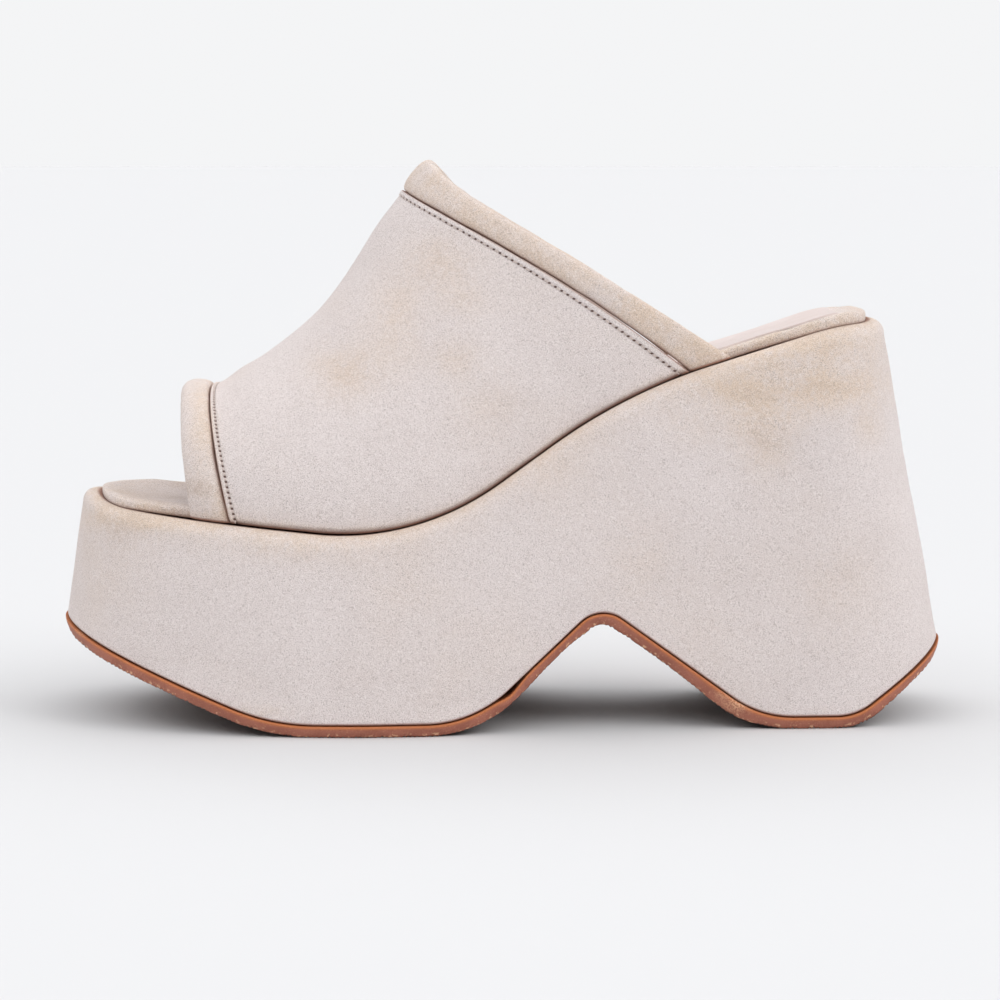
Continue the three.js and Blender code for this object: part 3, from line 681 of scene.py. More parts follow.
def outsole_sheet():
    """The outsole follows the underside, square to it but for the tips. Rows run over its upper ledge, down
    its bevelled side and under, where ribs across the shoe, a sine wave of x, give the lower edge its teeth.
    Bell curves thin or thicken it, round it beside the notch and lower its ledge where it has come away."""
    slope = underside(sole_ring.foot[:, 0])[1]
    stretch = np.hypot(1, slope)
    square = np.clip((LENGTH / 2 - abs(sole_ring.foot[:, 0])) / SQUARE_FROM_TIP, 0, 1)

    def row(distance, depth):
        moved = inset(sole_ring.foot, distance)
        shift = square * slope * depth / stretch
        moved[:, 2] += slope * (moved[:, 0] - sole_ring.foot[:, 0] + shift) - depth * stretch
        moved[:, 0] += shift
        return moved

    outer, bottom = -OUTSOLE_OVERHANG, GAP + OUTSOLE_THICKNESS
    side = np.linspace(0, 1, 9)
    straight = OUTSOLE_THICKNESS - 2 * EDGE_ROUND
    rows = [row(LEDGE_REACH, GAP), row(outer + 0.5, GAP), row(outer + 0.12, GAP + 0.06)]
    rows += [row(outer + OUTSOLE_BEVEL * s**BEVEL_CURVE, GAP + EDGE_ROUND + straight * s) for s in side]
    rows += [row(outer + OUTSOLE_BEVEL + more, bottom) for more in (0.3, 1.4)]
    points = np.array(rows)
    under = np.concatenate([np.zeros(7), [0.1, 0.25, 0.5, 0.8, 1, 1, 1]])[:, None]
    rib = 0.5 + 0.5 * np.sin(2 * np.pi * points[..., 0] / RIB_PITCH)
    rough = np.clip(0.6 + swells(points, RIB_WAVES), 0, 1.2)
    points[..., 2] += under * RIB_DEPTH * rib * rough
    ground = swells(points, SOLE_EDGE_WAVES) * under
    points[1:-1, :, :2] += inward(sole_ring.foot) * ground[1:-1, :, None]
    peeled = blobs(points, [PEELED_SPOT]) * (points[..., 1] > 0)
    points[..., 2] -= peeled * (1 - under)
    from_notch = abs(points[..., 0] - x_at(UNDERSIDE[2][0]))
    points[..., 2] -= NOTCH_SAG * under * bell(from_notch - NOTCH_AWAY, NOTCH_REACH)
    deep = np.concatenate([np.zeros(3), side, [1, 1]])[:, None]
    for at, reach, amount in SOLE_SWELLS:
        points[..., 2] -= deep * stretch * amount * bell(points[..., 0] - x_at(at), reach)
    ledge = np.concatenate([[1, 1, 1, 1, 0.6, 0.1], np.zeros(6), [-1, -1]])[:, None]
    values = {"ledge": ledge, "under": under, "flaked": blobs(points, FLAKED_SPOTS) * (points[..., 1] > 0)}
    return points, {key: np.broadcast_to(value, points.shape[:-1]) for key, value in values.items()}


RIM_RADIUS = FOOTBED_THICKNESS / 2
TIP_REACH = 0.02
TIP_MARGIN = 1.4
ROOM_EASE = 0.12
SPINE_SETBACK = 34
SPINE_SHARE = 0.97
RIM_ROWS, SLOPE_ROWS, INNER_ROWS = 10, 14, 10
# Rows of its upright side: distance inwards, height
FOOTBED_SIDE = [(0.25, -0.22), (0.03, 0.1), (0, 0.8)]
TOE_SOFTNESS = 1.6
TOE_DROP, HEEL_DROP, MEDIAL_DROP = 0.9, 0.5, 0.9


def tips(share, toe=1.0, heel=1.0):
    """Bell curves of these heights at the toe's and the heel's tip."""
    return toe * bell(share, TIP_REACH) + heel * bell(1 - share, TIP_REACH)


def footbed_margin(share):
    """Platform edge to footbed edge: it grows between the feet of the upper to leave room for its wall."""
    toe, collar = UPPER[0][1], UPPER[-1][1]
    narrow = smooth_step(share, toe - ROOM_EASE, toe) * (1 - smooth_step(share, collar, collar + ROOM_EASE))
    return FOOTBED_MARGIN + narrow * (UPPER_MARGIN + WALL + GAP - FOOTBED_MARGIN)


def footbed_top(from_edge):
    """Height above the footbed's underside: half a cosine wave from the rim's crest down to the dish."""
    t = np.clip((from_edge - RIM_RADIUS) / DISH_SLOPE, 0, 1)
    return FOOTBED_THICKNESS - DISH_DEPTH * (1 - np.cos(np.pi * t)) / 2


def footbed_ring(distance, height):
    """A ring of the footbed. At the very tips it keeps TIP_MARGIN more from the platform's edge."""
    margin = footbed_margin(fine.share) + TIP_MARGIN * tips(fine.share)
    return fine.top_inset(margin + distance, GAP + height)


def rays_inwards(ring):
    """From each point of a ring the way to a spine, half way between the sides and ending SPINE_SETBACK
    before each tip, and its length."""
    x = np.clip(ring[:, 0], ring[:, 0].min() + SPINE_SETBACK, ring[:, 0].max() - SPINE_SETBACK)
    lateral, medial = side_at(ring, True, x), side_at(ring, False, x)
    way = np.stack([x - ring[:, 0], (lateral + medial) / 2 - ring[:, 1]], -1)
    return way, np.linalg.norm(way, axis=1)


def along_rays(ring, way, length, distance):
    """Points a distance along the rays, at the height that the footbed has that far from its edge."""
    moved = ring.copy()
    moved[:, :2] += way * (distance / length)[:, None]
    moved[:, 2] = seat(moved[:, 0]) + GAP + footbed_top(RIM_RADIUS + distance)
    return moved


def rim_drop():
    """How much lower the rim is at the very tips, and along the medial side of the heel."""
    medial = smooth_step(fine.share, 0.68, 0.8) * (1 - smooth_step(fine.share, 0.95, 1))
    return tips(fine.share, TOE_DROP, HEEL_DROP) + np.where(fine.side < 0, MEDIAL_DROP * medial, 0)


def footbed_cover():
    """The footbed's suede: an upright side, a quarter oval up to the rim's crest, wider at the toe, a cosine
    slope into the dish, and rows that close in on the spine."""
    rows = [footbed_ring(distance, height) for distance, height in FOOTBED_SIDE]
    width = RIM_RADIUS * (1 + TOE_SOFTNESS * (1 - smooth_step(fine.share, 0.06, 0.2)))
    for angle in np.linspace(0, np.pi / 2, RIM_ROWS - len(FOOTBED_SIDE)):
        rows.append(footbed_ring(width * (1 - math.cos(angle)), RIM_RADIUS * (1 + math.sin(angle))))
    crest = rows[-1]
    way, length = rays_inwards(crest)
    slope = DISH_SLOPE * np.linspace(0, 1, SLOPE_ROWS + 1)[1:]
    inner = DISH_SLOPE + (length - DISH_SLOPE) * np.linspace(0, SPINE_SHARE, INNER_ROWS + 1)[1:, None]
    rows += [along_rays(crest, way, length, distance) for distance in (*slope, *inner)]
    points = np.array(rows)
    soft = np.concatenate([np.linspace(0, 1, RIM_ROWS), np.ones(len(points) - RIM_ROWS)])[:, None]
    fade = np.concatenate([np.ones(RIM_ROWS), np.linspace(1, 0, SLOPE_ROWS), np.zeros(INNER_ROWS)])[:, None]
    relief = swells(points, FOOTBED_WAVES) - troughs(points, TOE_CREASES)
    points[..., 2] += soft * (relief - fade * rim_drop())
    # Painted crevice shade, reddish brown, along the lowest rows where the footbed meets the platform
    seam_shade = np.zeros(points.shape[:-1])
    seam_shade[:3] = np.array([0.7, 0.25, 0])[:, None]
    heel = 0.55 + 0.45 * smooth_step(fine.share, 0.6, 0.75)
    return points, suede_values(points, 0.65 * heel * fade**1.5, seam_shade)


SOCK_THICKNESS = 0.55
SOCK_LIFT, SOCK_EDGE_ROUND = 0.05, 0.2
SOCK_TIP_MARGIN, SOCK_TIP_REACH = 4.5, 0.05
SOCK_COLUMNS, SOCK_CROWDING = 90, 1.7


def heel_sock_sheet():
    """The upper face of the heel sock: rows from its edge inwards, each cut at the same x, with columns from
    the lateral end of the cut round the heel to the medial end. The last rows close in on the spine."""
    crest = footbed_ring(RIM_RADIUS, FOOTBED_THICKNESS)
    way, length = rays_inwards(crest)
    first = SOCK_MARGIN - RIM_RADIUS + SOCK_TIP_MARGIN * bell(1 - fine.share, SOCK_TIP_REACH)
    place = 1 - (1 - np.linspace(0, 1, SOCK_COLUMNS + 1)) ** SOCK_CROWDING
    distances = [first + (DISH_SLOPE - first) * t for t in np.linspace(0, 1, 12)]
    distances += [DISH_SLOPE + (length - DISH_SLOPE) * t for t in np.linspace(0, SPINE_SHARE, 10)[1:]]
    cut = along_rays(crest, way, length, first)[:, 0].min() + SOCK_LENGTH
    rows = []
    for distance in distances:
        whole = along_rays(crest, way, length, distance)
        whole[:, 2] -= rim_drop() * (1 - smooth_step(distance, 0, DISH_SLOPE))
        sides = []
        for side in (fine.lateral, fine.medial):
            share = fine.share[side]
            start = np.interp(cut, whole[side][::-1, 0], share[::-1])
            at = start + (1 - start) * place
            sides.append(np.stack([np.interp(at, share, whole[side, k]) for k in range(3)], -1))
        rows.append(np.concatenate([sides[0], sides[1][-2::-1]]))
    points = np.array(rows)
    points[..., 2] += SOCK_LIFT + SOCK_THICKNESS + swells(points, SOCK_WAVES)
    columns = points.shape[1]
    last = (len(points) - 1) * columns
    half = np.arange(SOCK_COLUMNS + 1)
    faces = sheet_faces(len(points), columns).tolist()
    faces += strip_faces(last + half, last + columns - 1 - half)
    return points, faces


VAMP_FROM, VAMP_TO = TOE_SEAM + SEAM_GAP / 2, COLLAR_SEAM - SEAM_GAP / 2
VAMP_WIDTH = (VAMP_TO - VAMP_FROM) * BAND_LENGTH
VAMP_LEATHER = 1.4
TOE_ROW, COLLAR_ROW = 1.5, 2.0
TOE_PITCH, COLLAR_PITCH = 1.65, 2.2
FOLD_STEP, FOLD_LIP = 0.4, 0.5
DENT_DEPTH, DENT_REACH = 0.24, 0.4
TUCK_DEPTH, TUCK_REACH = 0.9, 2.4
CALM_BY_TOE, CALM_BY_COLLAR = (2, 9), (3, 11)
# Height over which painted crevice shade fades up from the upper's feet
FOOT_SHADE_SPAN = (0.2, 1.0)
# Rows of points beside the vamp's edges, and the distance between which the others are spread
EDGE_ROWS = np.array([0, 0.05, 0.15, 0.3, 0.5, 0.8, 1.1, 1.3, 1.5, 1.75, 2, 2.25, 2.6, 3.1, 3.8])
SPREAD_FROM, SPREAD_ROWS = 4.8, 92
# What the stitch attribute says where no stitch row is near
NO_STITCH = 50.0


def fold_height(from_edge, row):
    """How far the vamp's face stands out near an edge: a lip with a quarter round, a step of folded suede,
    and a dent where the thread pulls it down along the stitch row."""
    inside = np.clip(FOLD_LIP - from_edge, 0, FOLD_LIP)
    rounded = FOLD_LIP - np.sqrt(np.maximum(FOLD_LIP**2 - inside**2, 0))
    dent = DENT_DEPTH * bell(from_edge - row, DENT_REACH)
    return FOLD_STEP * (1 - smooth_step(from_edge, row - 0.5, row + 0.3)) - rounded - dent


def arch_places(steps):
    """Arch positions from the lateral foot (1) to the medial foot (-1): half an even spread and half its
    sine, which brings them closer together near the feet."""
    t = np.linspace(1, -1, steps + 1)
    return (0.5 * t + 0.5 * np.sin(t * np.pi / 2))[:, None]


def foot_tuck(points):
    """How far the upper's face turns in just above the platform, fading with height above the seat."""
    return TUCK_DEPTH * (1 - smooth_step(points[..., 2] - seat(points[..., 0]) - GAP, 0, TUCK_REACH)) ** 2


def vamp_out(from_toe, points):
    """How far the vamp's outer face stands out: folds at both edges, soft waves and creases."""
    folds = fold_height(from_toe, TOE_ROW) + fold_height(VAMP_WIDTH - from_toe, COLLAR_ROW)
    inside = smooth_step(from_toe, *CALM_BY_TOE) * smooth_step(VAMP_WIDTH - from_toe, *CALM_BY_COLLAR)
    relief = swells(points, VAMP_WAVES) - troughs(points, VAMP_CREASES)
    return folds + inside * relief - foot_tuck(points)


def row_lengths(u, v):
    """Length along the arch at each arch position, on the line of constant u."""
    line = upper_face(u, v[:, 0])
    return np.concatenate([[0], np.cumsum(np.linalg.norm(np.diff(line, axis=0), axis=1))])


def vamp_cover():
    """The vamp's suede: its outer face with both folded edges, and its flesh side VAMP_LEATHER inside."""
    v = arch_places(340)
    spread = np.linspace(SPREAD_FROM, VAMP_WIDTH - SPREAD_FROM, SPREAD_ROWS)
    along = np.concatenate([EDGE_ROWS, spread, VAMP_WIDTH - EDGE_ROWS[::-1]])
    u = VAMP_FROM + along / BAND_LENGTH
    plain = upper_face(u, v)
    out = vamp_out(along, plain)
    outer = upper_points(u, v, out)
    inner = upper_points(u[::-1], v, -VAMP_LEATHER - foot_tuck(plain[:, ::-1]))
    points = np.concatenate([outer, inner], 1)
    toe_count = row_lengths(VAMP_FROM + TOE_ROW / BAND_LENGTH, v) / TOE_PITCH
    collar_count = row_lengths(VAMP_TO - COLLAR_ROW / BAND_LENGTH, v) / COLLAR_PITCH
    near_toe = along < VAMP_WIDTH / 2
    away = np.where(near_toe, along - TOE_ROW, VAMP_WIDTH - along - COLLAR_ROW)
    stitch = np.zeros(points.shape)
    stitch[..., 0] = NO_STITCH
    stitch[:, : len(along), 0] = away
    stitch[:, : len(along), 1] = np.where(near_toe, toe_count[:, None], collar_count[:, None])
    stitch[:, : len(along), 2] = np.where(near_toe, TOE_PITCH, COLLAR_PITCH)
    height = points[..., 2] - seat(points[..., 0])
    by_edge = np.concatenate([along, along[::-1]])
    # Near the feet and the edges the suede yellows and takes painted shade; along the seams and the feet,
    # the reddish brown of painted crevice shade
    yellowed_and_shaded = 0.55 * bell(height, 2.2) + 0.3 * bell(by_edge, 2)
    by_seam = np.minimum(by_edge, VAMP_WIDTH - by_edge)
    seam_shade = np.maximum(bell(by_seam, 0.22), 1 - smooth_step(height - GAP, *FOOT_SHADE_SPAN))
    return points, {"stitch": stitch, **suede_values(points, yellowed_and_shaded, seam_shade)}


LINING_SETBACK, LINING_SPARE, LINING_WAVE = 0.08, 0.05, 0.12


def vamp_lining():
    """The lining: a thin leather sheet against the vamp's flesh side, with soft waves on its inner face."""
    v = arch_places(160)
    u = np.linspace(VAMP_FROM, VAMP_TO, 60)
    plain = upper_face(u, v)
    outer = upper_points(u, v, -VAMP_LEATHER - LINING_SETBACK - foot_tuck(plain))
    wave = LINING_WAVE * waves(plain, 24, 15)
    inner = upper_points(u[::-1], v, (LINING_SPARE - WALL + wave - LINING_WAVE)[:, ::-1])
    return np.concatenate([outer, inner], 1)


ROLL_COLUMNS = 36
ROLL_FULLNESS = 2.7
PINCH_POWER = 10


def padded_roll(start, end, seam_at, seed, yellow):
    """A padded roll: a superellipse across the band, pinched at its feet, with soft lumps along it."""
    v = arch_places(420)
    middle, half = (start + end) / 2, (end - start) / 2
    pinch = abs(v) ** PINCH_POWER
    thickness = ROLL_THICKNESS + (ROLL_FOOT_THICKNESS - ROLL_THICKNESS) * pinch
    stands_out = ROLL_STANDS_OUT * (1 - pinch)
    angle = (np.arange(ROLL_COLUMNS) + 0.5) / ROLL_COLUMNS * 2 * np.pi
    power = ROLL_FULLNESS
    size = (abs(np.cos(angle)) ** power + abs(np.sin(angle)) ** power) ** (-1 / power)
    u = middle - half * np.cos(angle) * size
    out = stands_out - thickness / 2 + thickness / 2 * np.sin(angle) * size
    plain = upper_points(u, v, out)
    centre = plain.mean(1, keepdims=True)
    outward = plain - centre
    outward /= np.linalg.norm(outward, axis=-1)[..., None]
    lumps = swells(plain, [(0.13, 15, seed), (0.05, 5, seed + 1)])
    points = plain + outward * (lumps * (1 - pinch))[..., None]
    points[..., 2] = np.maximum(points[..., 2], seat(points[..., 0]) + GAP)
    worn = yellow * np.clip(0.75 + 0.35 * waves(plain, 18, seed + 2), 0, 1.3)
    # Painted crevice shade along the seam with the vamp and at the feet, and yellowing with painted shade
    # beside that seam
    by_seam = abs(u - seam_at) / (end - start)
    by_foot = points[..., 2] - seat(points[..., 0]) - GAP
    seam_shade = np.maximum(bell(by_seam, 0.05), 1 - smooth_step(by_foot, *FOOT_SHADE_SPAN))
    return points, suede_values(points, worn + 0.35 * bell(by_seam, 0.25), seam_shade)


THREAD_STEPS, THREAD_SIDES, THREAD_RADIUS = 6, 6, 0.2
THREAD_SPAN = (0.16, 0.84)
THREAD_LIFT, THREAD_RISE, THREAD_TILT = 0.02, 0.2, 0.08
THREAD_END = 0.12


def thread_row(u, out, pitch, seed):
    """One row of stitches: between each two holes a thread that rises by half a sine wave, is thinner at its
    ends and lies a little aslant."""
    v = arch_places(900)
    length = row_lengths(u, v)
    count = int(length[-1] / pitch)
    at = (np.arange(count)[:, None] + np.linspace(*THREAD_SPAN, THREAD_STEPS)) * pitch
    place = np.interp(at, length, v[:, 0])
    raise_by = out + THREAD_RISE * np.sin(np.pi * np.linspace(0, 1, THREAD_STEPS))
    normal = upper_normal(u, place)
    line = upper_face(u, place) + normal * raise_by[:, None]
    along = np.gradient(line, axis=1)
    along /= np.linalg.norm(along, axis=-1)[..., None]
    across = np.cross(along, normal)
    tilt = np.random.default_rng(seed).uniform(-THREAD_TILT, THREAD_TILT, (count, 1, 1))
    ends = np.linspace(-1, 1, THREAD_STEPS)
    line = line + across * (tilt * ends[:, None])
    angle = np.arange(THREAD_SIDES) / THREAD_SIDES * 2 * np.pi
    radius = THREAD_RADIUS * np.sqrt(np.maximum(1 - ends**4, THREAD_END))
    turned = across[:, :, None] * np.cos(angle)[:, None] + normal[:, :, None] * np.sin(angle)[:, None]
    return line[:, :, None] + turned * radius[:, None, None]


def thread_faces(count):
    """Tubes of quads with both ends closed, one for each stitch."""
    tube = ring_faces(THREAD_STEPS, THREAD_SIDES)
    cap = np.array([[0, k + 1, k] for k in range(1, THREAD_SIDES - 1)])
    last = (THREAD_STEPS - 1) * THREAD_SIDES
    faces = []
    for start in range(0, count * THREAD_STEPS * THREAD_SIDES, THREAD_STEPS * THREAD_SIDES):
        faces += (tube + start).tolist() + (cap + start).tolist() + (cap[:, ::-1] + start + last).tolist()
    return faces


def linear(red, green, blue):
    """Scene colour of a display colour given in 0 to 255."""
    share = np.array([red, green, blue]) / 255
    shade = np.where(share <= 0.04045, share / 12.92, ((share + 0.055) / 1.055) ** 2.4)
    return (*(float(value) for value in shade), 1.0)


class Nodes:
    """A node tree under construction. Most calls add a node and give back its result."""

    def __init__(self, tree):
        self.tree = tree

    def put(self, node, socket, value):
        if isinstance(value, bpy.types.NodeSocket):
            self.tree.links.new(value, node.inputs[socket])
        else:
            node.inputs[socket].default_value = value

    def node(self, kind, inputs=(), **settings):
        made = self.tree.nodes.new(kind)
        for key, value in settings.items():
            setattr(made, key, value)
        for socket, value in dict(inputs).items():
            self.put(made, socket, value)
        return made

    def math(self, operation, one, other=0.0, clamp=False):
        inputs = {0: one, 1: other}
        return self.node("ShaderNodeMath", inputs, operation=operation, use_clamp=clamp).outputs[0]

    def times(self, one, other, clamp=False):
        return self.math("MULTIPLY", one, other, clamp)

    def plus(self, one, other, clamp=False):
        return self.math("ADD", one, other, clamp)

    def ramp(self, value, start, end, low=0.0, high=1.0):
        """Low before start, high after end, and a soft step between them."""
        inputs = {"Value": value, "From Min": start, "From Max": end, "To Min": low, "To Max": high}
        return self.node("ShaderNodeMapRange", inputs, interpolation_type="SMOOTHSTEP").outputs["Result"]


class Finish(Nodes):
    """A material under construction, whose patterns read Object coordinates."""

    def __init__(self, name, base, roughness, **shader):
        self.material = bpy.data.materials.new(name)
        self.material.use_nodes = True
        super().__init__(self.material.node_tree)
        self.shader = self.tree.nodes["Principled BSDF"]
        self.put(self.shader, "Base Color", base)
        self.put(self.shader, "Roughness", roughness)
        for key, value in shader.items():
            self.put(self.shader, key.replace("_", " "), value)
        self.place = self.node("ShaderNodeTexCoord").outputs["Object"]

    def noise(self, size, detail, roughness):
        """Noise of about size millimetres, around 0.5."""
        inputs = {"Vector": self.place, "Scale": 1 / (size * MM), "Detail": detail, "Roughness": roughness}
        return self.node("ShaderNodeTexNoise", inputs).outputs["Fac"]

    def mix(self, share, one, other):
        """A share of the other colour over the one. In colour mode these are the sockets 0, 7 and 6."""
        return self.node("ShaderNodeMix", {0: share, 6: one, 7: other}, data_type="RGBA").outputs[2]

    def value(self, name):
        return self.node("ShaderNodeAttribute", attribute_name=name).outputs["Fac"]

    def vector(self, name):
        made = self.node("ShaderNodeAttribute", attribute_name=name)
        return self.node("ShaderNodeSeparateXYZ", {0: made.outputs["Vector"]}).outputs

    def bump(self, height, depth, before=None):
        """Bumps of depth millimetres, laid over those of before."""
        inputs = {"Height": height, "Distance": depth * MM, "Strength": 1.0}
        if before is not None:
            inputs["Normal"] = before
        return self.node("ShaderNodeBump", inputs).outputs["Normal"]

    def done(self, colour, normal):
        self.put(self.shader, "Base Color", colour)
        self.put(self.shader, "Normal", normal)
        return self.material


SUEDE_BASE = linear(225, 214, 211)
SUEDE_PALE = linear(233, 223, 221)
SUEDE_YELLOW = linear(224, 202, 182)
SUEDE_DARK = linear(172, 150, 138)
# Reddish brown of painted shade in seams and crevices
SEAM_SHADE_BROWN = linear(150, 100, 78)
NAP_DARK = linear(148, 136, 131)
NAP_PALE = linear(246, 240, 238)
NAP_SIZE, NAP_DEPTH = 0.28, 0.3
# Painted shade in the pinholes, and the size of that dark spot
PINHOLE_SHADE = linear(84, 52, 40)
PINHOLE_EDGE, PINHOLE_SHORTER = (0.22, 0.42), 0.75


def suede_finish(name, coarse=1.0, stitched=False):
    """Suede: a pale pink beige that yellows with tint and darkens with shade in soft patches, with a nap of
    specks and streaks a fraction of a millimetre wide. The seam mask lays on the reddish brown of painted
    crevice shade. stitched adds the pinholes between the stitches: a dip in the bump and painted shade in
    each."""
    suede = Finish(
        name, SUEDE_BASE, 0.96, Specular_IOR_Level=0.12, Sheen_Weight=0.28, Sheen_Roughness=0.45,
        Sheen_Tint=linear(250, 244, 242),
    )
    cloud, patch = suede.noise(38, 3, 0.55), suede.noise(9, 3, 0.6)
    speck, fibre = suede.noise(NAP_SIZE * coarse, 2, 0.7), suede.noise(1.5 * coarse, 2, 0.6)
    broken = suede.plus(suede.times(patch, 0.8), suede.times(fibre, 0.6))
    yellow = suede.times(suede.value("tint"), suede.ramp(broken, 0.35, 0.95, 0.35, 1.35))
    yellow = suede.plus(yellow, suede.ramp(cloud, 0.5, 0.8, 0, 0.16), clamp=True)
    dark = suede.times(suede.value("shade"), suede.ramp(broken, 0.4, 1.0, 0.3, 1.2))
    colour = suede.mix(suede.ramp(cloud, 0.3, 0.55, 0.35, 0), SUEDE_BASE, SUEDE_PALE)
    colour = suede.mix(yellow, colour, SUEDE_YELLOW)
    colour = suede.mix(suede.times(dark, 0.5, clamp=True), colour, SUEDE_DARK)
    colour = suede.mix(suede.ramp(speck, 0.3, 0.5, 0.7, 0), colour, NAP_DARK)
    colour = suede.mix(suede.ramp(speck, 0.5, 0.7, 0, 0.7), colour, NAP_PALE)
    colour = suede.mix(suede.ramp(fibre, 0.5, 0.75, 0, 0.1), colour, SUEDE_DARK)
    height = suede.plus(suede.times(speck, 0.8), suede.times(fibre, 0.5))
    normal = suede.bump(height, NAP_DEPTH * coarse)
    # Painted crevice shade along seams, feet and low edges
    colour = suede.mix(suede.times(suede.value("seam_shade"), 0.9, clamp=True), colour, SEAM_SHADE_BROWN)
    if stitched:
        away, count, pitch = suede.vector("stitch")
        along = suede.math("SUBTRACT", suede.math("FRACT", suede.plus(count, 0.5)), 0.5)
        along = suede.times(suede.times(along, pitch), PINHOLE_SHORTER)
        squares = suede.plus(suede.math("POWER", away, 2.0), suede.math("POWER", along, 2.0))
        hole = suede.math("SQRT", squares)
        # Painted shade in each pinhole
        hole_shade = suede.ramp(hole, *PINHOLE_EDGE, 1, 0)
        colour = suede.mix(suede.times(hole_shade, 0.92), colour, PINHOLE_SHADE)
        normal = suede.bump(suede.ramp(hole, 0.1, 0.6), 0.3, normal)
    return suede.done(colour, normal)


GRAIN_SIZE = 0.9


def leather_finish(name, colour, deep, gloss):
    """Smooth leather: small rounded grain with a slight gloss, a little uneven in colour."""
    leather = Finish(name, colour, gloss, Specular_IOR_Level=0.4, Coat_Weight=0.06, Coat_Roughness=0.4)
    inputs = {"Vector": leather.place, "Scale": 1 / (GRAIN_SIZE * MM), "Smoothness": 0.6, "Randomness": 1.0}
    grain = leather.node("ShaderNodeTexVoronoi", inputs, feature="SMOOTH_F1").outputs["Distance"]
    cloud, pore = leather.noise(14, 3, 0.55), leather.noise(0.5, 2, 0.6)
    mixed = leather.mix(leather.ramp(cloud, 0.35, 0.75, 0, 0.45), colour, deep)
    mixed = leather.mix(leather.ramp(pore, 0.2, 0.4, 0.25, 0), mixed, deep)
    leather.put(leather.shader, "Roughness", leather.ramp(cloud, 0.3, 0.7, gloss - 0.06, gloss + 0.08))
    height = leather.plus(grain, leather.times(pore, 0.4))
    return leather.done(mixed, leather.bump(height, 0.06, leather.bump(cloud, 0.5)))


RUBBER_SIDE = linear(170, 107, 88)
RUBBER_LIP = linear(192, 115, 66)
RUBBER_PALE = linear(228, 180, 144)
RUBBER_DEEP = linear(120, 66, 50)
# Painted shade for the underside, darker than the tan rubber
UNDERSIDE_SHADE = linear(74, 50, 42)


def rubber_finish(name):
    """Tan rubber: an orange lip along its upper ledge, a brownish pink ground side, a rough lower edge with
    pale crumbs, and an underside painted dark as shade beneath the shoe, though the rubber itself is tan
    there too."""
    rubber = Finish(name, RUBBER_SIDE, 0.62, Specular_IOR_Level=0.35)
    ledge, under = rubber.value("ledge"), rubber.value("under")
    cloud, grit, crumb = rubber.noise(7, 3, 0.6), rubber.noise(0.5, 3, 0.65), rubber.noise(1.3, 2, 0.5)
    colour = rubber.mix(rubber.ramp(cloud, 0.35, 0.7, 0, 0.35), RUBBER_SIDE, RUBBER_DEEP)
    colour = rubber.mix(rubber.times(ledge, 0.85, clamp=True), colour, RUBBER_LIP)
    colour = rubber.mix(rubber.ramp(grit, 0.3, 0.45, 0.3, 0), colour, RUBBER_DEEP)
    colour = rubber.mix(rubber.ramp(grit, 0.58, 0.7, 0, 0.3), colour, RUBBER_PALE)
    crumbs = rubber.times(rubber.ramp(crumb, 0.58, 0.66), rubber.ramp(under, 0.1, 0.6))
    flakes = rubber.times(rubber.ramp(grit, 0.42, 0.56), rubber.value("flaked"))
    colour = rubber.mix(rubber.plus(rubber.times(crumbs, 0.85), flakes, clamp=True), colour, RUBBER_PALE)
    # The underside rows take the painted shade
    colour = rubber.mix(rubber.ramp(ledge, -0.9, -0.3, 0.85, 0), colour, UNDERSIDE_SHADE)
    height = rubber.plus(rubber.times(grit, 0.5), rubber.times(crumb, under))
    return rubber.done(colour, rubber.bump(height, 0.22))


def thread_finish(name):
    """Sewing thread: beige, with a fine twist across it."""
    thread = Finish(name, linear(214, 198, 190), 0.7, Sheen_Weight=0.2)
    twist = thread.noise(0.25, 1, 0.5)
    colour = thread.mix(thread.ramp(twist, 0.4, 0.6, 0, 0.5), linear(218, 203, 196), linear(184, 163, 152))
    return thread.done(colour, thread.bump(twist, 0.06))


def finished(made, material):
    made.data.materials.append(material)
    return made


plain_suede = suede_finish("pale_suede")
stitched_suede = suede_finish("pale_suede_with_pinholes", stitched=True)
rim_suede = suede_finish("pale_suede_coarse", coarse=1.3)
sock_leather = leather_finish("sock_leather", linear(217, 203, 199), linear(205, 187, 180), 0.5)
lining_leather = leather_finish("lining_leather", linear(222, 206, 198), linear(204, 184, 172), 0.6)
tan_rubber = rubber_finish("tan_rubber")
beige_thread = thread_finish("beige_thread")

points, values = platform_cover()
finished(ring_piece("platform_cover", fine, points, SUEDE, ["platform"], **values), plain_suede)

points, values = outsole_sheet()
finished(ring_piece("outsole_sheet", sole_ring, points, RUBBER, ["outsole"], **values), tan_rubber)

points, values = footbed_cover()
footbed = finished(ring_piece("footbed_cover", fine, points, SUEDE, ["footbed"], **values), rim_suede)

points, faces = heel_sock_sheet()
sock = finished(piece("heel_sock_sheet", points, faces, LEATHER, ["heel_sock"], closed=False), sock_leather)
thicken = sock.modifiers.new("thickness", "SOLIDIFY")
thicken.thickness = SOCK_THICKNESS * MM
thicken.offset = -1
soften = sock.modifiers.new("soft_edge", "BEVEL")
soften.width = SOCK_EDGE_ROUND * MM
soften.segments = 2

points, values = vamp_cover()
vamp = finished(upper_piece("vamp_cover", points, SUEDE, ["vamp"], **values), stitched_suede)
finished(upper_piece("vamp_lining", vamp_lining(), LEATHER), lining_leather)

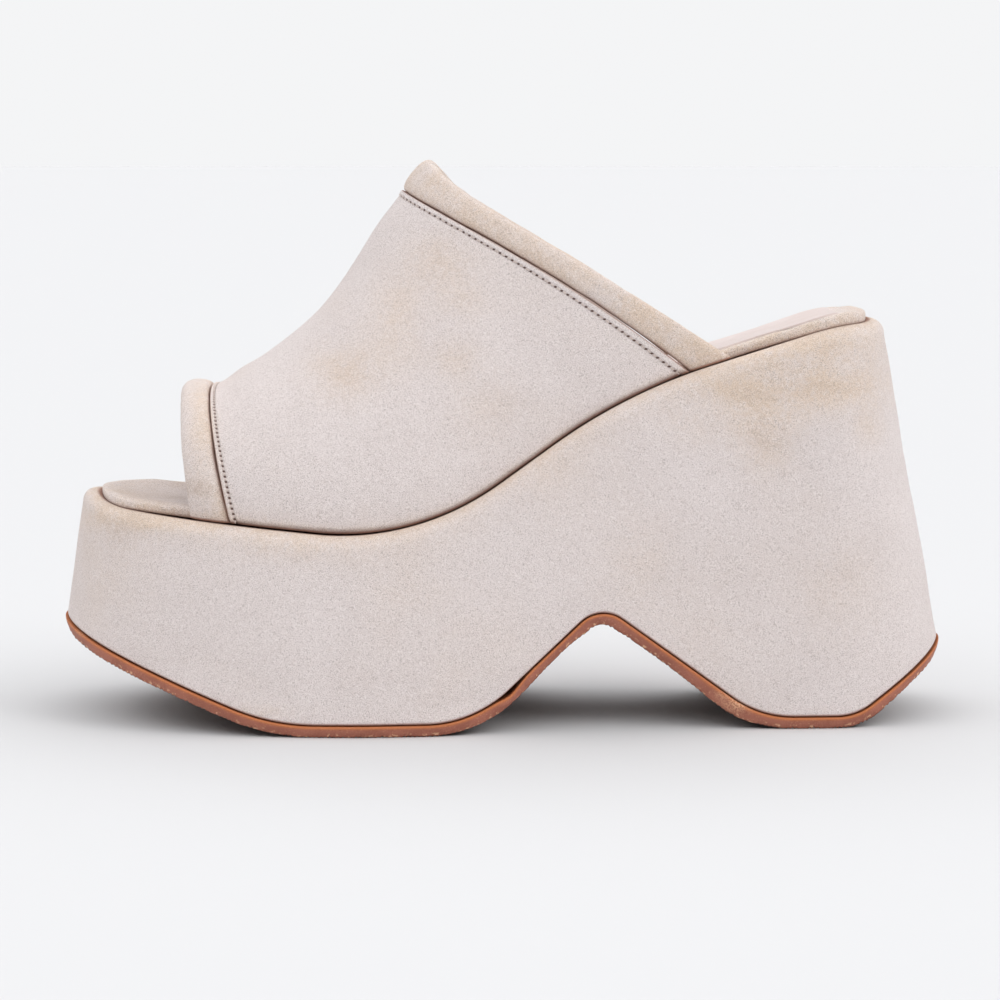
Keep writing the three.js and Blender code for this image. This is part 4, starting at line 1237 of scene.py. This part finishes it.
# Name, start, end, seam, seed, yellow
ROLLS = [
    ("toe_roll", 0, TOE_SEAM - SEAM_GAP / 2, TOE_SEAM, 21, 0.35),
    ("collar_roll", COLLAR_SEAM + SEAM_GAP / 2, 1, COLLAR_SEAM, 31, 0.85),
]
for name, start, end, seam_at, seed, yellow in ROLLS:
    points, values = padded_roll(start, end, seam_at, seed, yellow)
    finished(upper_piece(name + "_cover", points, SUEDE, [name], **values), plain_suede)

# Name, place along the band, distance from the vamp's edge, pitch, seed
THREADS = [
    ("toe_stitches", VAMP_FROM + TOE_ROW / BAND_LENGTH, TOE_ROW, TOE_PITCH, 41),
    ("collar_stitches", VAMP_TO - COLLAR_ROW / BAND_LENGTH, COLLAR_ROW, COLLAR_PITCH, 42),
]
for name, u, from_edge, pitch, seed in THREADS:
    points = thread_row(u, float(fold_height(from_edge, from_edge)) + THREAD_LIFT, pitch, seed)
    finished(piece(name, points, thread_faces(len(points)), SUEDE), beige_thread)


FLOOR_RADIUS = 14
FLOOR_PAINT = linear(214, 214, 215)
SUN_PLACE, SUN_ANGLE, SUN_STRENGTH = (-0.9, 0.5, 0.75), math.radians(30), 0.5
# Strength of the air at the horizon, just above it, in the bright ring half way up, and overhead. The steps
# between them are heights of a direction, the sine of its angle above level
AIR_LOW, AIR_DIM, AIR_RING, AIR_TOP = 0.92, 0.17, 2.1, 0.72
DIM_STARTS, RING_STARTS, RING_ENDS = (0.06, 0.16), (0.37, 0.55), (0.74, 0.92)
AIR_COLOUR = (0.985, 0.99, 1.0, 1)


def stage_floor():
    """A round pale floor, wide enough to fill every view."""
    bpy.ops.mesh.primitive_circle_add(vertices=96, radius=FLOOR_RADIUS, fill_type="NGON", location=(0, 0, 0))
    floor = bpy.context.object
    floor.name = "studio_floor"
    finished(floor, Finish("studio_paint", FLOOR_PAINT, 0.9, Specular_IOR_Level=0.1).material)


def sun_light():
    """A wide soft sun that shines from the direction of SUN_PLACE to the origin."""
    lamp = bpy.data.lights.new("soft_sun", "SUN")
    lamp.angle, lamp.energy = SUN_ANGLE, SUN_STRENGTH
    made = bpy.data.objects.new("soft_sun", lamp)
    x, y, z = SUN_PLACE
    made.rotation_euler = (math.atan2(math.hypot(x, y), z), 0, math.atan2(x, -y))
    bpy.context.scene.collection.objects.link(made)


def studio():
    """Pale floor and air, a bright ring of light half way up, and one soft sun from over the heel."""
    stage_floor()
    world = bpy.data.worlds.new("studio_air")
    world.use_nodes = True
    air = Nodes(world.node_tree)
    direction = air.node("ShaderNodeTexCoord").outputs["Generated"]
    height = air.node("ShaderNodeSeparateXYZ", {0: direction}).outputs["Z"]
    strength = air.ramp(height, *DIM_STARTS, AIR_LOW, AIR_DIM)
    strength = air.plus(strength, air.ramp(height, *RING_STARTS, 0, AIR_RING - AIR_DIM))
    strength = air.plus(strength, air.ramp(height, *RING_ENDS, 0, AIR_TOP - AIR_RING))
    background = air.tree.nodes["Background"]
    air.put(background, "Color", AIR_COLOUR)
    air.put(background, "Strength", strength)
    bpy.context.scene.world = world
    bpy.context.scene.view_settings.view_transform = "Standard"
    sun_light()


def photo_camera():
    """The photo's camera: it looks along -y, tilted down by CAMERA_TILT."""
    lens = bpy.data.cameras.new("photo_camera")
    lens.sensor_width = SENSOR_WIDTH
    lens.lens = SENSOR_WIDTH * FOCAL_PIXELS / PHOTO_SIZE
    lens.clip_start, lens.clip_end = 0.05, 60
    camera = bpy.data.objects.new("photo_camera", lens)
    camera.location = CAMERA_PLACE * MM
    camera.rotation_euler = (math.pi / 2 - CAMERA_TILT, 0, math.pi)
    bpy.context.scene.collection.objects.link(camera)
    bpy.context.scene.camera = camera


studio()
photo_camera()
